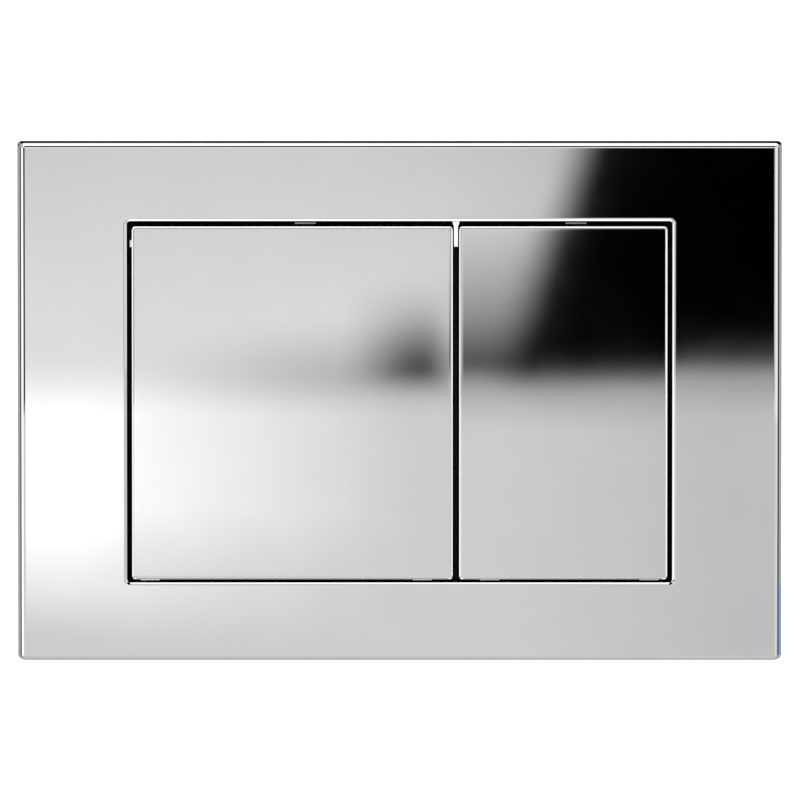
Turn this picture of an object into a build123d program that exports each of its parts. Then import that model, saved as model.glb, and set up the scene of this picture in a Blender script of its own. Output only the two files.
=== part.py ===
from build123d import *
import os
from math import cos, radians, sin

# Dual flush plate for a concealed cistern: a bezel with two hinged buttons, the tray that carries them, the frame
# that fixes it all to the wall, and the push rods that reach the cistern's levers.
# Millimetres. X runs to the right as seen from the front, Z up and Y into the wall. The wall's face is Y = 0, so
# what stands in front of the wall has a negative Y. The origin is the middle of the plate, on the wall's face.

os.makedirs("parts", exist_ok=True)

# Face plate
PLATE_W = 220.0
PLATE_H = 150.0
PLATE_PROJECTION = 5.0
PLATE_WALL = 2.2
RIM_WALL = 2.0
SIDE_SLOPE = 1.1  # how much the left and right sides draw in from the wall to the front
END_SLOPE = 0.3  # the same above and below
PLATE_EDGE_R = 1.3
SIDE_MARGIN = 31.5  # from the plate's edge to the opening
END_MARGIN = 22.7
OPENING_CORNER_R = 1.0
OPENING_EDGE_R = 1.0
COLLAR_WALL = 1.8
COLLAR_BACK_Y = 2.0  # the collar and its tab end here, against the carrier
TAB_X = 16.2
TAB_T = 1.1
TAB_L = 7.5
TAB_ROOT_SETBACK = 2.6
TAB_END_SETBACK = 1.4
TAB_ROOT_R = 0.5
COLLAR_RIB_T = 1.2
COLLAR_RIB_REACH = 3.6
COLLAR_RIB_PITCH = 32.0
COLLAR_RIB_SETBACK = 0.6

# Barbed clips on the face plate: above and below for the mounting frame, at the sides for the carrier
CLIP_W = 9.0
CLIP_T = 1.6
CLIP_GAP = 0.4
CLIP_BARB = 1.3
CLIP_BARB_L = 3.8
FRAME_CLIP_X = 52.0
FRAME_CATCH_Y = 2.6
WINDOW_GAP = 0.4
CARRIER_CLIP_Z = 36.0
CARRIER_CATCH_GAP = 0.1

# Buttons
SIDE_GAP = 1.5
TOP_GAP = 1.6
BOTTOM_GAP = 0.9
TAB_GAP = 0.4
BUTTON_WALL = 2.2
SKIRT_WALL = 2.0
BUTTON_EDGE_R = 1.0
BUTTON_RIB_T = 1.4
BUTTON_RIB_H = 3.4
NIB_H = 0.6  # nibs that keep the button clear of the collar
NIB_SETBACK = 1.2
SIDE_NIB_L = 2.0
SIDE_NIB_DROP = 5.0
PRESS_ANGLE = 5.0  # degrees, from rest to a full press

# Hinges
PIVOT_Y = 7.0
PIVOT_RISE = 2.6  # above the button's lower edge
HINGE_ROD_D = 3.0
ROD_FIT = 0.02
ROD_RUNNING = 0.08
ROD_SKIRT_GAP = 0.5
EAR_W = 5.5
EAR_WALL = 1.9
EAR_INSET_OUTER = 2.4
EAR_INSET_INNER = 6.0
EAR_LUG_GAP = 0.5
LUG_W = 3.0
LUG_WALL = 2.0
LUG_MOUTH = 2.5
LUG_LIP = 1.5  # how far the snap mouth stands in front of the pivot

# Stop hooks at the top of the buttons
HOOK_W = 6.0
HOOK_OFFSET = 3.7
HOOK_CATCH = 0.9
HOOK_T = 2.4
HOOK_GAP = 0.3
HOOK_TIP = 0.8
HOOK_LEAN = 0.36  # back for each millimetre up

# Carrier
RING_T = 2.0
RING_EDGE = 1.5
RING_CORNER_R = 2.0
TRAY_CLEAR = 2.2
TRAY_WALL = 1.8
TRAY_CORNER_R = 2.5
TRAY_CHAMFER = 1.0
TRAY_DEPTH = 20.0  # behind the ring
DIVIDER_T = 1.2
DIVIDER_FRONT_GAP = 5.0
GUIDE_WALL = 2.2
GUIDE_L = 12.0
GUIDE_CLEAR = 0.1
BACK_RIB_T = 1.4
BACK_RIB_H = 4.0

# Plungers, push rods and lock nuts
PLUNGER_X = 30.0
PLUNGER_Z = 11.0
PAD_W = 10.0
PAD_NOSE_R = 3.5
PAD_BACK_Y = 8.0
PAD_GAP = 0.1
HEAD_D = 14.0
HEAD_T = 3.0
STEM_D = 8.0
STEM_OUT = 8.0  # how far the stem stands out of the guide tube
THREAD_CLEAR = 0.05
PUSH_ROD_D = 6.0
ROD_ENGAGED = 14.0
ROD_FREE = 30.0
ROD_TIP_D = 4.8
ROD_TIP_L = 12.0
ROD_TIP_CHAMFER = 0.6
NUT_FLATS = 10.0
NUT_H = 5.0

# Forked return springs
LEAF_T = 0.5
LEAF_W = 15.0
LEAF_GAP = 0.1
LEAF_FOOT = 14.0
LEAF_SPAN = 27.0  # from the bend at the foot up to the plunger
LEAF_TIP_L = 8.0
LEAF_TIP_FALL = 1.8
LEAF_BEND_R = 8.0
LEAF_TIP_R = 3.0
FORK_CLEAR = 0.5
RAIL_CLEAR = 0.1
RAIL_WALL = 1.2
RAIL_LIP = 1.4
RAIL_L = 9.0

# Rubber buffers, stuck to the tray's floor
BUFFER_W = 12.0
BUFFER_H = 5.0
BUFFER_CHAMFER = 0.8
BUFFER_GAP = 0.4
BUFFER_INSET = 14.0
BUFFER_DROP = 2.2  # below the button's top edge

# Mounting frame and its fixing screws
FRAME_RIM_GAP = 0.8
FLANGE_GAP = 0.8
FLANGE_LAP_X = 2.0
FLANGE_LAP_Z = 8.0
FLANGE_CORNER_R = 2.0
SLEEVE_WALL = 1.5
SLEEVE_DEPTH = 12.0
LIP_WALL = 1.4
POCKET_L = 26.0
POCKET_DEPTH = 7.0
POCKET_FLOOR = 2.0
POCKET_END_WALL = 1.5
POCKET_CLEAR = 0.3
SLOT_L = 14.0
SLOT_CLEAR = 0.5
FIX_D = 5.0
FIX_NECK_D = 4.3
FIX_NECK_L = 3.0
FIX_L = 62.0
FIX_TIP_CHAMFER = 0.8
FIX_HEAD_D = 8.4
FIX_HEAD_H = 3.4

# Depths that several pieces share
FRONT_Y = -PLATE_PROJECTION
PLATE_INNER_Y = FRONT_Y + PLATE_WALL
RING_BACK_Y = COLLAR_BACK_Y + RING_T
TRAY_BACK_Y = RING_BACK_Y + TRAY_DEPTH
TRAY_FLOOR_Y = TRAY_BACK_Y - TRAY_WALL

# Outlines that several pieces share
OPENING_W = PLATE_W - 2 * SIDE_MARGIN
OPENING_H = PLATE_H - 2 * END_MARGIN
TRAY_IN_W = OPENING_W + 2 * TRAY_CLEAR
TRAY_IN_H = OPENING_H + 2 * TRAY_CLEAR
TRAY_W = TRAY_IN_W + 2 * TRAY_WALL
TRAY_H = TRAY_IN_H + 2 * TRAY_WALL
RING_W = TRAY_W + 2 * RING_EDGE
RING_H = TRAY_H + 2 * RING_EDGE

# The rim slopes, so what sits inside it is sized for its narrow end
RIM_IN_W = PLATE_W - 2 * (SIDE_SLOPE + RIM_WALL)
RIM_IN_H = PLATE_H - 2 * (END_SLOPE + RIM_WALL)
FLANGE_W = RIM_IN_W - 2 * FRAME_RIM_GAP
FLANGE_H = RIM_IN_H - 2 * FRAME_RIM_GAP
FLANGE_T = -PLATE_INNER_Y - FLANGE_GAP
SLEEVE_W = FLANGE_W - 2 * FLANGE_LAP_X
SLEEVE_H = FLANGE_H - 2 * FLANGE_LAP_Z
SLEEVE_IN_W = SLEEVE_W - 2 * SLEEVE_WALL
SLEEVE_IN_H = SLEEVE_H - 2 * SLEEVE_WALL
POCKET_W = FIX_HEAD_D + 2 * POCKET_CLEAR
FIX_X = SLEEVE_IN_W / 2 - POCKET_W / 2
FRAME_OPEN_W = SLEEVE_IN_W - 2 * (POCKET_W + LIP_WALL)

# Buttons and hinges
BUTTON_TOP = OPENING_H / 2 - TOP_GAP
BUTTON_BOTTOM = -OPENING_H / 2 + BOTTOM_GAP
BUTTON_H = BUTTON_TOP - BUTTON_BOTTOM
BUTTON_MID_Z = (BUTTON_TOP + BUTTON_BOTTOM) / 2
BUTTON_INNER_Y = FRONT_Y + BUTTON_WALL
PIVOT_Z = BUTTON_BOTTOM + PIVOT_RISE
SKIRT_BACK_Y = PIVOT_Y - HINGE_ROD_D / 2 - ROD_SKIRT_GAP
EAR_R = HINGE_ROD_D / 2 + EAR_WALL
LUG_BORE_R = HINGE_ROD_D / 2 + ROD_RUNNING
LUG_R = LUG_BORE_R + LUG_WALL
LARGE_LEFT = -OPENING_W / 2 + SIDE_GAP
LARGE_RIGHT = TAB_X - TAB_T / 2 - TAB_GAP
SMALL_LEFT = TAB_X + TAB_T / 2 + TAB_GAP
SMALL_RIGHT = OPENING_W / 2 - SIDE_GAP

# Each ear starts at its lower X, and the lug beside it is on the button's inner side
LARGE_EARS = (LARGE_LEFT + EAR_INSET_OUTER, LARGE_RIGHT - EAR_INSET_INNER - EAR_W)
SMALL_EARS = (SMALL_LEFT + EAR_INSET_INNER, SMALL_RIGHT - EAR_INSET_OUTER - EAR_W)
LUGS = [ear + side for pair in (LARGE_EARS, SMALL_EARS) for ear, side in zip(
    pair, (EAR_W + EAR_LUG_GAP, -EAR_LUG_GAP - LUG_W))]

# Plunger and spring, from the button's pad back
HEAD_FRONT_Y = PAD_BACK_Y + PAD_GAP
HEAD_BACK_Y = HEAD_FRONT_Y + HEAD_T
GUIDE_BORE_D = STEM_D + 2 * GUIDE_CLEAR
GUIDE_END_Y = TRAY_BACK_Y + GUIDE_L
STEM_END_Y = GUIDE_END_Y + STEM_OUT
LEAF_FOOT_TOP_Z = PLUNGER_Z - LEAF_SPAN

# A full press swings the top skirt back to this depth, just short of the buffers
PRESS = radians(PRESS_ANGLE)
BUFFER_Z = BUTTON_TOP - BUFFER_DROP
PRESSED_SKIRT_Y = PIVOT_Y + (SKIRT_BACK_Y - PIVOT_Y) * cos(PRESS) + (BUTTON_TOP - PIVOT_Z) * sin(PRESS)
BUFFER_FRONT_Y = PRESSED_SKIRT_Y + BUFFER_GAP
BUFFERS = {
    "large_left_buffer": LARGE_LEFT + BUFFER_INSET,
    "large_right_buffer": LARGE_RIGHT - BUFFER_INSET,
    "small_left_buffer": SMALL_LEFT + BUFFER_INSET,
    "small_right_buffer": SMALL_RIGHT - BUFFER_INSET,
}


def wall_plane(y):
    """Plane parallel to the wall at depth y, seen from the front: extruding it comes towards the viewer."""
    return Plane.XZ.offset(-y)


def side_plane(x):
    """Plane across the plate at x, drawn as (Y, Z): extruding it goes to the right."""
    return Plane.YZ.offset(x)


# The bezel: a shallow moulded box with sloping sides, open at the back
with BuildPart() as face_plate:
    with BuildSketch(wall_plane(0)):
        Rectangle(PLATE_W, PLATE_H)
    with BuildSketch(wall_plane(FRONT_Y)):
        Rectangle(PLATE_W - 2 * SIDE_SLOPE, PLATE_H - 2 * END_SLOPE)
    loft()
    back = face_plate.faces().sort_by(Axis.Y)[-1]
    fillet(face_plate.edges() - back.edges(), PLATE_EDGE_R)
    with BuildSketch(wall_plane(0)):
        Rectangle(RIM_IN_W, RIM_IN_H)
    extrude(amount=-PLATE_INNER_Y, mode=Mode.SUBTRACT)
    # A collar round the opening
    with BuildSketch(wall_plane(COLLAR_BACK_Y)):
        Rectangle(OPENING_W + 2 * COLLAR_WALL, OPENING_H + 2 * COLLAR_WALL)
    extrude(amount=COLLAR_BACK_Y - PLATE_INNER_Y)
    with BuildSketch(wall_plane(COLLAR_BACK_Y)):
        RectangleRounded(OPENING_W, OPENING_H, OPENING_CORNER_R)
    extrude(amount=COLLAR_BACK_Y - FRONT_Y, mode=Mode.SUBTRACT)
    front = face_plate.faces().sort_by(Axis.Y)[0]
    fillet(front.inner_wires()[0].edges(), OPENING_EDGE_R)
    # A short tab that hangs from the collar between the buttons, flared at its root
    tab_end_z = OPENING_H / 2 - TAB_L
    with BuildSketch(side_plane(TAB_X - TAB_T / 2)):
        with BuildLine():
            Polyline(
                (COLLAR_BACK_Y, OPENING_H / 2 + COLLAR_WALL / 2),
                (COLLAR_BACK_Y, tab_end_z),
                (FRONT_Y + TAB_END_SETBACK, tab_end_z),
                (FRONT_Y + TAB_ROOT_SETBACK, OPENING_H / 2),
                (FRONT_Y + TAB_ROOT_SETBACK, OPENING_H / 2 + COLLAR_WALL / 2),
                close=True,
            )
        make_face()
    extrude(amount=TAB_T)
    tab_sides = face_plate.edges().filter_by(Axis.Y).filter_by_position(Axis.X, TAB_X - TAB_T, TAB_X + TAB_T)
    fillet(tab_sides.group_by(Axis.Z)[-1], TAB_ROOT_R)
    # Stiffening ribs along the collar's long sides
    collar_z = OPENING_H / 2 + COLLAR_WALL
    rib_count = int(OPENING_W / COLLAR_RIB_PITCH) + 1
    for column in range(rib_count):
        rib_x = (column - (rib_count - 1) / 2) * COLLAR_RIB_PITCH
        for up in (-1, 1):
            with BuildSketch(side_plane(rib_x - COLLAR_RIB_T / 2)):
                with BuildLine():
                    Polyline(
                        (PLATE_INNER_Y, up * (OPENING_H / 2 + COLLAR_WALL / 2)),
                        (PLATE_INNER_Y, up * (collar_z + COLLAR_RIB_REACH)),
                        (COLLAR_BACK_Y - COLLAR_RIB_SETBACK, up * collar_z),
                        (COLLAR_BACK_Y - COLLAR_RIB_SETBACK, up * (OPENING_H / 2 + COLLAR_WALL / 2)),
                        close=True,
                    )
                make_face()
            extrude(amount=COLLAR_RIB_T)
    # Clips above and below, whose barbs point outwards into windows in the mounting frame
    frame_clip_z = SLEEVE_IN_H / 2 - CLIP_GAP
    for clip_x in (-FRAME_CLIP_X, FRAME_CLIP_X):
        for up in (-1, 1):
            with BuildSketch(side_plane(clip_x - CLIP_W / 2)):
                with BuildLine():
                    Polyline(
                        (PLATE_INNER_Y, up * (frame_clip_z - CLIP_T)),
                        (PLATE_INNER_Y, up * frame_clip_z),
                        (FRAME_CATCH_Y, up * frame_clip_z),
                        (FRAME_CATCH_Y, up * (frame_clip_z + CLIP_BARB)),
                        (FRAME_CATCH_Y + CLIP_BARB_L, up * (frame_clip_z - CLIP_T / 2)),
                        (FRAME_CATCH_Y + CLIP_BARB_L, up * (frame_clip_z - CLIP_T)),
                        close=True,
                    )
                make_face()
            extrude(amount=CLIP_W)
    # Clips at the sides, whose barbs point inwards behind the carrier's ring
    carrier_clip_x = RING_W / 2 + CLIP_GAP
    carrier_catch_y = RING_BACK_Y + CARRIER_CATCH_GAP
    for clip_z in (-CARRIER_CLIP_Z, CARRIER_CLIP_Z):
        for out in (-1, 1):
            with BuildSketch(Plane.XY.offset(clip_z - CLIP_W / 2)):
                with BuildLine():
                    Polyline(
                        (out * (carrier_clip_x + CLIP_T), PLATE_INNER_Y),
                        (out * carrier_clip_x, PLATE_INNER_Y),
                        (out * carrier_clip_x, carrier_catch_y),
                        (out * (carrier_clip_x - CLIP_BARB), carrier_catch_y),
                        (out * (carrier_clip_x + CLIP_T / 2), carrier_catch_y + CLIP_BARB_L),
                        (out * (carrier_clip_x + CLIP_T), carrier_catch_y + CLIP_BARB_L),
                        close=True,
                    )
                make_face()
            extrude(amount=CLIP_W)
face_plate.part.label = "face_plate"
export_step(face_plate.part, "parts/face_plate.step")


# The buttons: moulded shells with a skirt, ribs, hinge ears, a round-nosed pad and a stop hook
def build_button(name, left, right, ears, pad_x, outer_x):
    middle = (left + right) / 2
    with BuildPart() as button:
        with BuildSketch(wall_plane(SKIRT_BACK_Y)):
            with Locations((middle, BUTTON_MID_Z)):
                Rectangle(right - left, BUTTON_H)
        extrude(amount=SKIRT_BACK_Y - FRONT_Y)
        back_face = button.faces().sort_by(Axis.Y)[-1]
        fillet(button.edges() - back_face.edges(), BUTTON_EDGE_R)
        with BuildSketch(wall_plane(SKIRT_BACK_Y)):
            with Locations((middle, BUTTON_MID_Z)):
                Rectangle(right - left - 2 * SKIRT_WALL, BUTTON_H - 2 * SKIRT_WALL)
        extrude(amount=SKIRT_BACK_Y - BUTTON_INNER_Y, mode=Mode.SUBTRACT)
        # Crossed ribs through the pad that presses the plunger
        with BuildSketch(wall_plane(BUTTON_INNER_Y + BUTTON_RIB_H)):
            with Locations((middle, PLUNGER_Z)):
                Rectangle(right - left - SKIRT_WALL, BUTTON_RIB_T)
            with Locations((pad_x, BUTTON_MID_Z)):
                Rectangle(BUTTON_RIB_T, BUTTON_H - SKIRT_WALL)
        extrude(amount=BUTTON_RIB_H)
        nose_y = PAD_BACK_Y - PAD_NOSE_R
        with BuildSketch(side_plane(pad_x - PAD_W / 2)):
            with Locations(((BUTTON_INNER_Y + nose_y) / 2, PLUNGER_Z)):
                Rectangle(nose_y - BUTTON_INNER_Y, 2 * PAD_NOSE_R)
            with Locations((nose_y, PLUNGER_Z)):
                Circle(PAD_NOSE_R)
        extrude(amount=PAD_W)
        # Hinge ears, bored for the rod
        for ear_x in ears:
            with BuildSketch(side_plane(ear_x)):
                with BuildLine():
                    Polyline(
                        (BUTTON_INNER_Y, BUTTON_BOTTOM + SKIRT_WALL / 2),
                        (BUTTON_INNER_Y, PIVOT_Z + EAR_R),
                        (PIVOT_Y, PIVOT_Z + EAR_R),
                        (PIVOT_Y, BUTTON_BOTTOM + SKIRT_WALL / 2),
                        close=True,
                    )
                make_face()
                with Locations((PIVOT_Y, PIVOT_Z)):
                    Circle(EAR_R)
            extrude(amount=EAR_W)
            with BuildSketch(side_plane(ear_x)):
                with Locations((PIVOT_Y, PIVOT_Z)):
                    Circle(HINGE_ROD_D / 2 + ROD_FIT)
            extrude(amount=EAR_W, mode=Mode.SUBTRACT)
        # Nibs under the ears and at the outer side, which keep the shell off the collar
        with BuildSketch(wall_plane(SKIRT_BACK_Y)):
            with Locations(*[(ear_x + EAR_W / 2, BUTTON_BOTTOM) for ear_x in ears]):
                Rectangle(EAR_W, 2 * NIB_H)
            with Locations((outer_x, BUTTON_TOP - SIDE_NIB_DROP)):
                Rectangle(2 * NIB_H, SIDE_NIB_L)
        extrude(amount=SKIRT_BACK_Y - FRONT_Y - NIB_SETBACK)
        # Stop hook, whose sloping face catches behind the carrier's ring
        catch_y = RING_BACK_Y + HOOK_GAP
        hook_tip_y = catch_y + HOOK_LEAN * HOOK_CATCH
        with BuildSketch(side_plane(middle + HOOK_OFFSET - HOOK_W / 2)):
            with BuildLine():
                Polyline(
                    (SKIRT_BACK_Y - SKIRT_WALL, BUTTON_TOP - SKIRT_WALL),
                    (catch_y + HOOK_T, BUTTON_TOP - SKIRT_WALL),
                    (catch_y + HOOK_T, BUTTON_TOP),
                    (hook_tip_y + HOOK_TIP, OPENING_H / 2 + HOOK_CATCH),
                    (hook_tip_y, OPENING_H / 2 + HOOK_CATCH),
                    (catch_y - HOOK_LEAN * TOP_GAP, BUTTON_TOP),
                    (SKIRT_BACK_Y - SKIRT_WALL, BUTTON_TOP),
                    close=True,
                )
            make_face()
        extrude(amount=HOOK_W)
    button.part.label = name
    export_step(button.part, f"parts/{name}.step")


build_button("large_button", LARGE_LEFT, LARGE_RIGHT, LARGE_EARS, -PLUNGER_X, LARGE_LEFT)
build_button("small_button", SMALL_LEFT, SMALL_RIGHT, SMALL_EARS, PLUNGER_X, SMALL_RIGHT)


# Hinge rods, from the outside of one ear to the outside of the other
for name, ears in (("large_hinge_rod", LARGE_EARS), ("small_hinge_rod", SMALL_EARS)):
    with BuildPart() as hinge_rod:
        with BuildSketch(side_plane(ears[0])):
            with Locations((PIVOT_Y, PIVOT_Z)):
                Circle(HINGE_ROD_D / 2)
        extrude(amount=ears[1] + EAR_W - ears[0])
    hinge_rod.part.label = name
    export_step(hinge_rod.part, f"parts/{name}.step")


# The carrier: a tray with a ring that closes the back of the plate's opening
with BuildPart() as button_carrier:
    with BuildSketch(wall_plane(TRAY_BACK_Y)):
        RectangleRounded(TRAY_W, TRAY_H, TRAY_CORNER_R)
    extrude(amount=TRAY_BACK_Y - RING_BACK_Y)
    tray_back = button_carrier.faces().sort_by(Axis.Y)[-1]
    chamfer(tray_back.edges(), TRAY_CHAMFER)
    with BuildSketch(wall_plane(RING_BACK_Y)):
        RectangleRounded(RING_W, RING_H, RING_CORNER_R)
    extrude(amount=RING_T)
    with BuildSketch(wall_plane(TRAY_FLOOR_Y)):
        Rectangle(TRAY_IN_W, TRAY_IN_H)
    extrude(amount=TRAY_FLOOR_Y - RING_BACK_Y, mode=Mode.SUBTRACT)
    with BuildSketch(wall_plane(RING_BACK_Y)):
        RectangleRounded(OPENING_W, OPENING_H, OPENING_CORNER_R)
    extrude(amount=RING_T, mode=Mode.SUBTRACT)
    # A divider between the two buttons' wells
    with BuildSketch(wall_plane(TRAY_FLOOR_Y)):
        with Locations((TAB_X, 0)):
            Rectangle(DIVIDER_T, TRAY_IN_H + TRAY_WALL)
    extrude(amount=TRAY_FLOOR_Y - RING_BACK_Y - DIVIDER_FRONT_GAP)
    # Lugs with snap mouths for the hinge rods
    for lug_x in LUGS:
        with BuildSketch(side_plane(lug_x)):
            with BuildLine():
                Polyline(
                    (PIVOT_Y - LUG_LIP, -TRAY_IN_H / 2 - TRAY_WALL / 2),
                    (PIVOT_Y - LUG_LIP, PIVOT_Z + LUG_R),
                    (TRAY_FLOOR_Y + TRAY_WALL / 2, PIVOT_Z + LUG_R),
                    (TRAY_FLOOR_Y + TRAY_WALL / 2, -TRAY_IN_H / 2 - TRAY_WALL / 2),
                    close=True,
                )
            make_face()
            with Locations((PIVOT_Y, PIVOT_Z)):
                Circle(LUG_BORE_R, mode=Mode.SUBTRACT)
            with Locations((PIVOT_Y - LUG_LIP, PIVOT_Z)):
                Rectangle(2 * LUG_LIP, LUG_MOUTH, mode=Mode.SUBTRACT)
        extrude(amount=LUG_W)
    # Ribs across the back and guide tubes for the plungers
    rib_low = -TRAY_IN_H / 2
    rib_high = BUFFER_Z
    outer_rib_x = (PLUNGER_X + TRAY_IN_W / 2) / 2
    with BuildSketch(wall_plane(TRAY_BACK_Y + BACK_RIB_H)):
        for row_z in (rib_high, (PLUNGER_Z + rib_high) / 2, PLUNGER_Z, (PLUNGER_Z + rib_low) / 2):
            with Locations((0, row_z)):
                Rectangle(TRAY_IN_W, BACK_RIB_T)
        with Locations(*[(x, rib_low) for x in (-outer_rib_x, -PLUNGER_X, PLUNGER_X, outer_rib_x)]):
            Rectangle(BACK_RIB_T, rib_high - rib_low, align=(Align.CENTER, Align.MIN))
    extrude(amount=BACK_RIB_H)
    with BuildSketch(wall_plane(GUIDE_END_Y)):
        with Locations((-PLUNGER_X, PLUNGER_Z), (PLUNGER_X, PLUNGER_Z)):
            Circle(GUIDE_BORE_D / 2 + GUIDE_WALL)
    extrude(amount=GUIDE_L)
    with BuildSketch(wall_plane(GUIDE_END_Y)):
        with Locations((-PLUNGER_X, PLUNGER_Z), (PLUNGER_X, PLUNGER_Z)):
            Circle(GUIDE_BORE_D / 2)
    extrude(amount=GUIDE_END_Y - TRAY_FLOOR_Y, mode=Mode.SUBTRACT)
    # Hooked rails on the floor, which the feet of the return springs slide under
    rail_in = LEAF_W / 2 + RAIL_CLEAR
    lip_back_y = TRAY_FLOOR_Y - LEAF_T - RAIL_CLEAR
    for rod_x in (-PLUNGER_X, PLUNGER_X):
        for out in (-1, 1):
            with BuildSketch(Plane.XY.offset(LEAF_FOOT_TOP_Z - LEAF_FOOT)):
                with BuildLine():
                    Polyline(
                        (rod_x + out * rail_in, TRAY_FLOOR_Y + TRAY_WALL / 2),
                        (rod_x + out * (rail_in + RAIL_WALL), TRAY_FLOOR_Y + TRAY_WALL / 2),
                        (rod_x + out * (rail_in + RAIL_WALL), lip_back_y - RAIL_WALL),
                        (rod_x + out * (rail_in - RAIL_LIP), lip_back_y - RAIL_WALL),
                        (rod_x + out * (rail_in - RAIL_LIP), lip_back_y),
                        (rod_x + out * rail_in, lip_back_y),
                        close=True,
                    )
                make_face()
            extrude(amount=RAIL_L)
button_carrier.part.label = "button_carrier"
export_step(button_carrier.part, "parts/button_carrier.step")


# Plungers with flat heads, and the threaded push rods locked in them
for side, rod_x in (("large", -PLUNGER_X), ("small", PLUNGER_X)):
    with BuildPart() as plunger:
        with BuildSketch(wall_plane(HEAD_BACK_Y)):
            with Locations((rod_x, PLUNGER_Z)):
                Circle(HEAD_D / 2)
        extrude(amount=HEAD_T)
        with BuildSketch(wall_plane(STEM_END_Y)):
            with Locations((rod_x, PLUNGER_Z)):
                Circle(STEM_D / 2)
        extrude(amount=STEM_END_Y - HEAD_BACK_Y)
        with BuildSketch(wall_plane(STEM_END_Y)):
            with Locations((rod_x, PLUNGER_Z)):
                Circle(PUSH_ROD_D / 2 + THREAD_CLEAR)
        extrude(amount=ROD_ENGAGED, mode=Mode.SUBTRACT)
    plunger.part.label = f"{side}_plunger"
    export_step(plunger.part, f"parts/{side}_plunger.step")

    with BuildPart() as push_rod:
        rod_end_y = STEM_END_Y + ROD_FREE
        with BuildSketch(wall_plane(rod_end_y)):
            with Locations((rod_x, PLUNGER_Z)):
                Circle(PUSH_ROD_D / 2)
        extrude(amount=ROD_FREE + ROD_ENGAGED)
        with BuildSketch(wall_plane(rod_end_y + ROD_TIP_L)):
            with Locations((rod_x, PLUNGER_Z)):
                Circle(ROD_TIP_D / 2)
        extrude(amount=ROD_TIP_L)
        chamfer(push_rod.faces().sort_by(Axis.Y)[-1].edges(), ROD_TIP_CHAMFER)
    push_rod.part.label = f"{side}_push_rod"
    export_step(push_rod.part, f"parts/{side}_push_rod.step")

    with BuildPart() as lock_nut:
        with BuildSketch(wall_plane(STEM_END_Y + NUT_H)):
            with Locations((rod_x, PLUNGER_Z)):
                RegularPolygon(NUT_FLATS / 2, 6, major_radius=False)
                Circle(PUSH_ROD_D / 2 + THREAD_CLEAR, mode=Mode.SUBTRACT)
        extrude(amount=NUT_H)
    lock_nut.part.label = f"{side}_lock_nut"
    export_step(lock_nut.part, f"parts/{side}_lock_nut.step")

    # Leaf spring bent from strip: a foot under the rails, a slope, and a fork under the plunger's head
    with BuildPart() as return_spring:
        foot_y = TRAY_FLOOR_Y - LEAF_T / 2
        crest_y = HEAD_BACK_Y + LEAF_GAP + LEAF_T / 2
        with BuildSketch(side_plane(rod_x - LEAF_W / 2)):
            with BuildLine():
                FilletPolyline(
                    (foot_y, LEAF_FOOT_TOP_Z - LEAF_FOOT),
                    (foot_y, LEAF_FOOT_TOP_Z),
                    (crest_y, PLUNGER_Z),
                    (crest_y + LEAF_TIP_FALL, PLUNGER_Z + LEAF_TIP_L),
                    radius=[LEAF_BEND_R, LEAF_TIP_R],
                )
            trace(line_width=LEAF_T)
        extrude(amount=LEAF_W)
        with BuildSketch(wall_plane(TRAY_FLOOR_Y)):
            fork_w = STEM_D + 2 * FORK_CLEAR
            with Locations((rod_x, PLUNGER_Z)):
                Circle(fork_w / 2)
            with Locations((rod_x, PLUNGER_Z + LEAF_TIP_L)):
                Rectangle(fork_w, 2 * LEAF_TIP_L)
        extrude(amount=TRAY_FLOOR_Y - HEAD_BACK_Y, mode=Mode.SUBTRACT)
    return_spring.part.label = f"{side}_return_spring"
    export_step(return_spring.part, f"parts/{side}_return_spring.step")


# Rubber buffers: blocks stuck to the tray's floor, which the top skirts come down on
for name, buffer_x in BUFFERS.items():
    with BuildPart() as buffer:
        with BuildSketch(wall_plane(TRAY_FLOOR_Y)):
            with Locations((buffer_x, BUFFER_Z)):
                Rectangle(BUFFER_W, BUFFER_H)
        extrude(amount=TRAY_FLOOR_Y - BUFFER_FRONT_Y)
        chamfer(buffer.faces().sort_by(Axis.Y)[0].edges(), BUFFER_CHAMFER)
    buffer.part.label = name
    export_step(buffer.part, f"parts/{name}.step")


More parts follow.
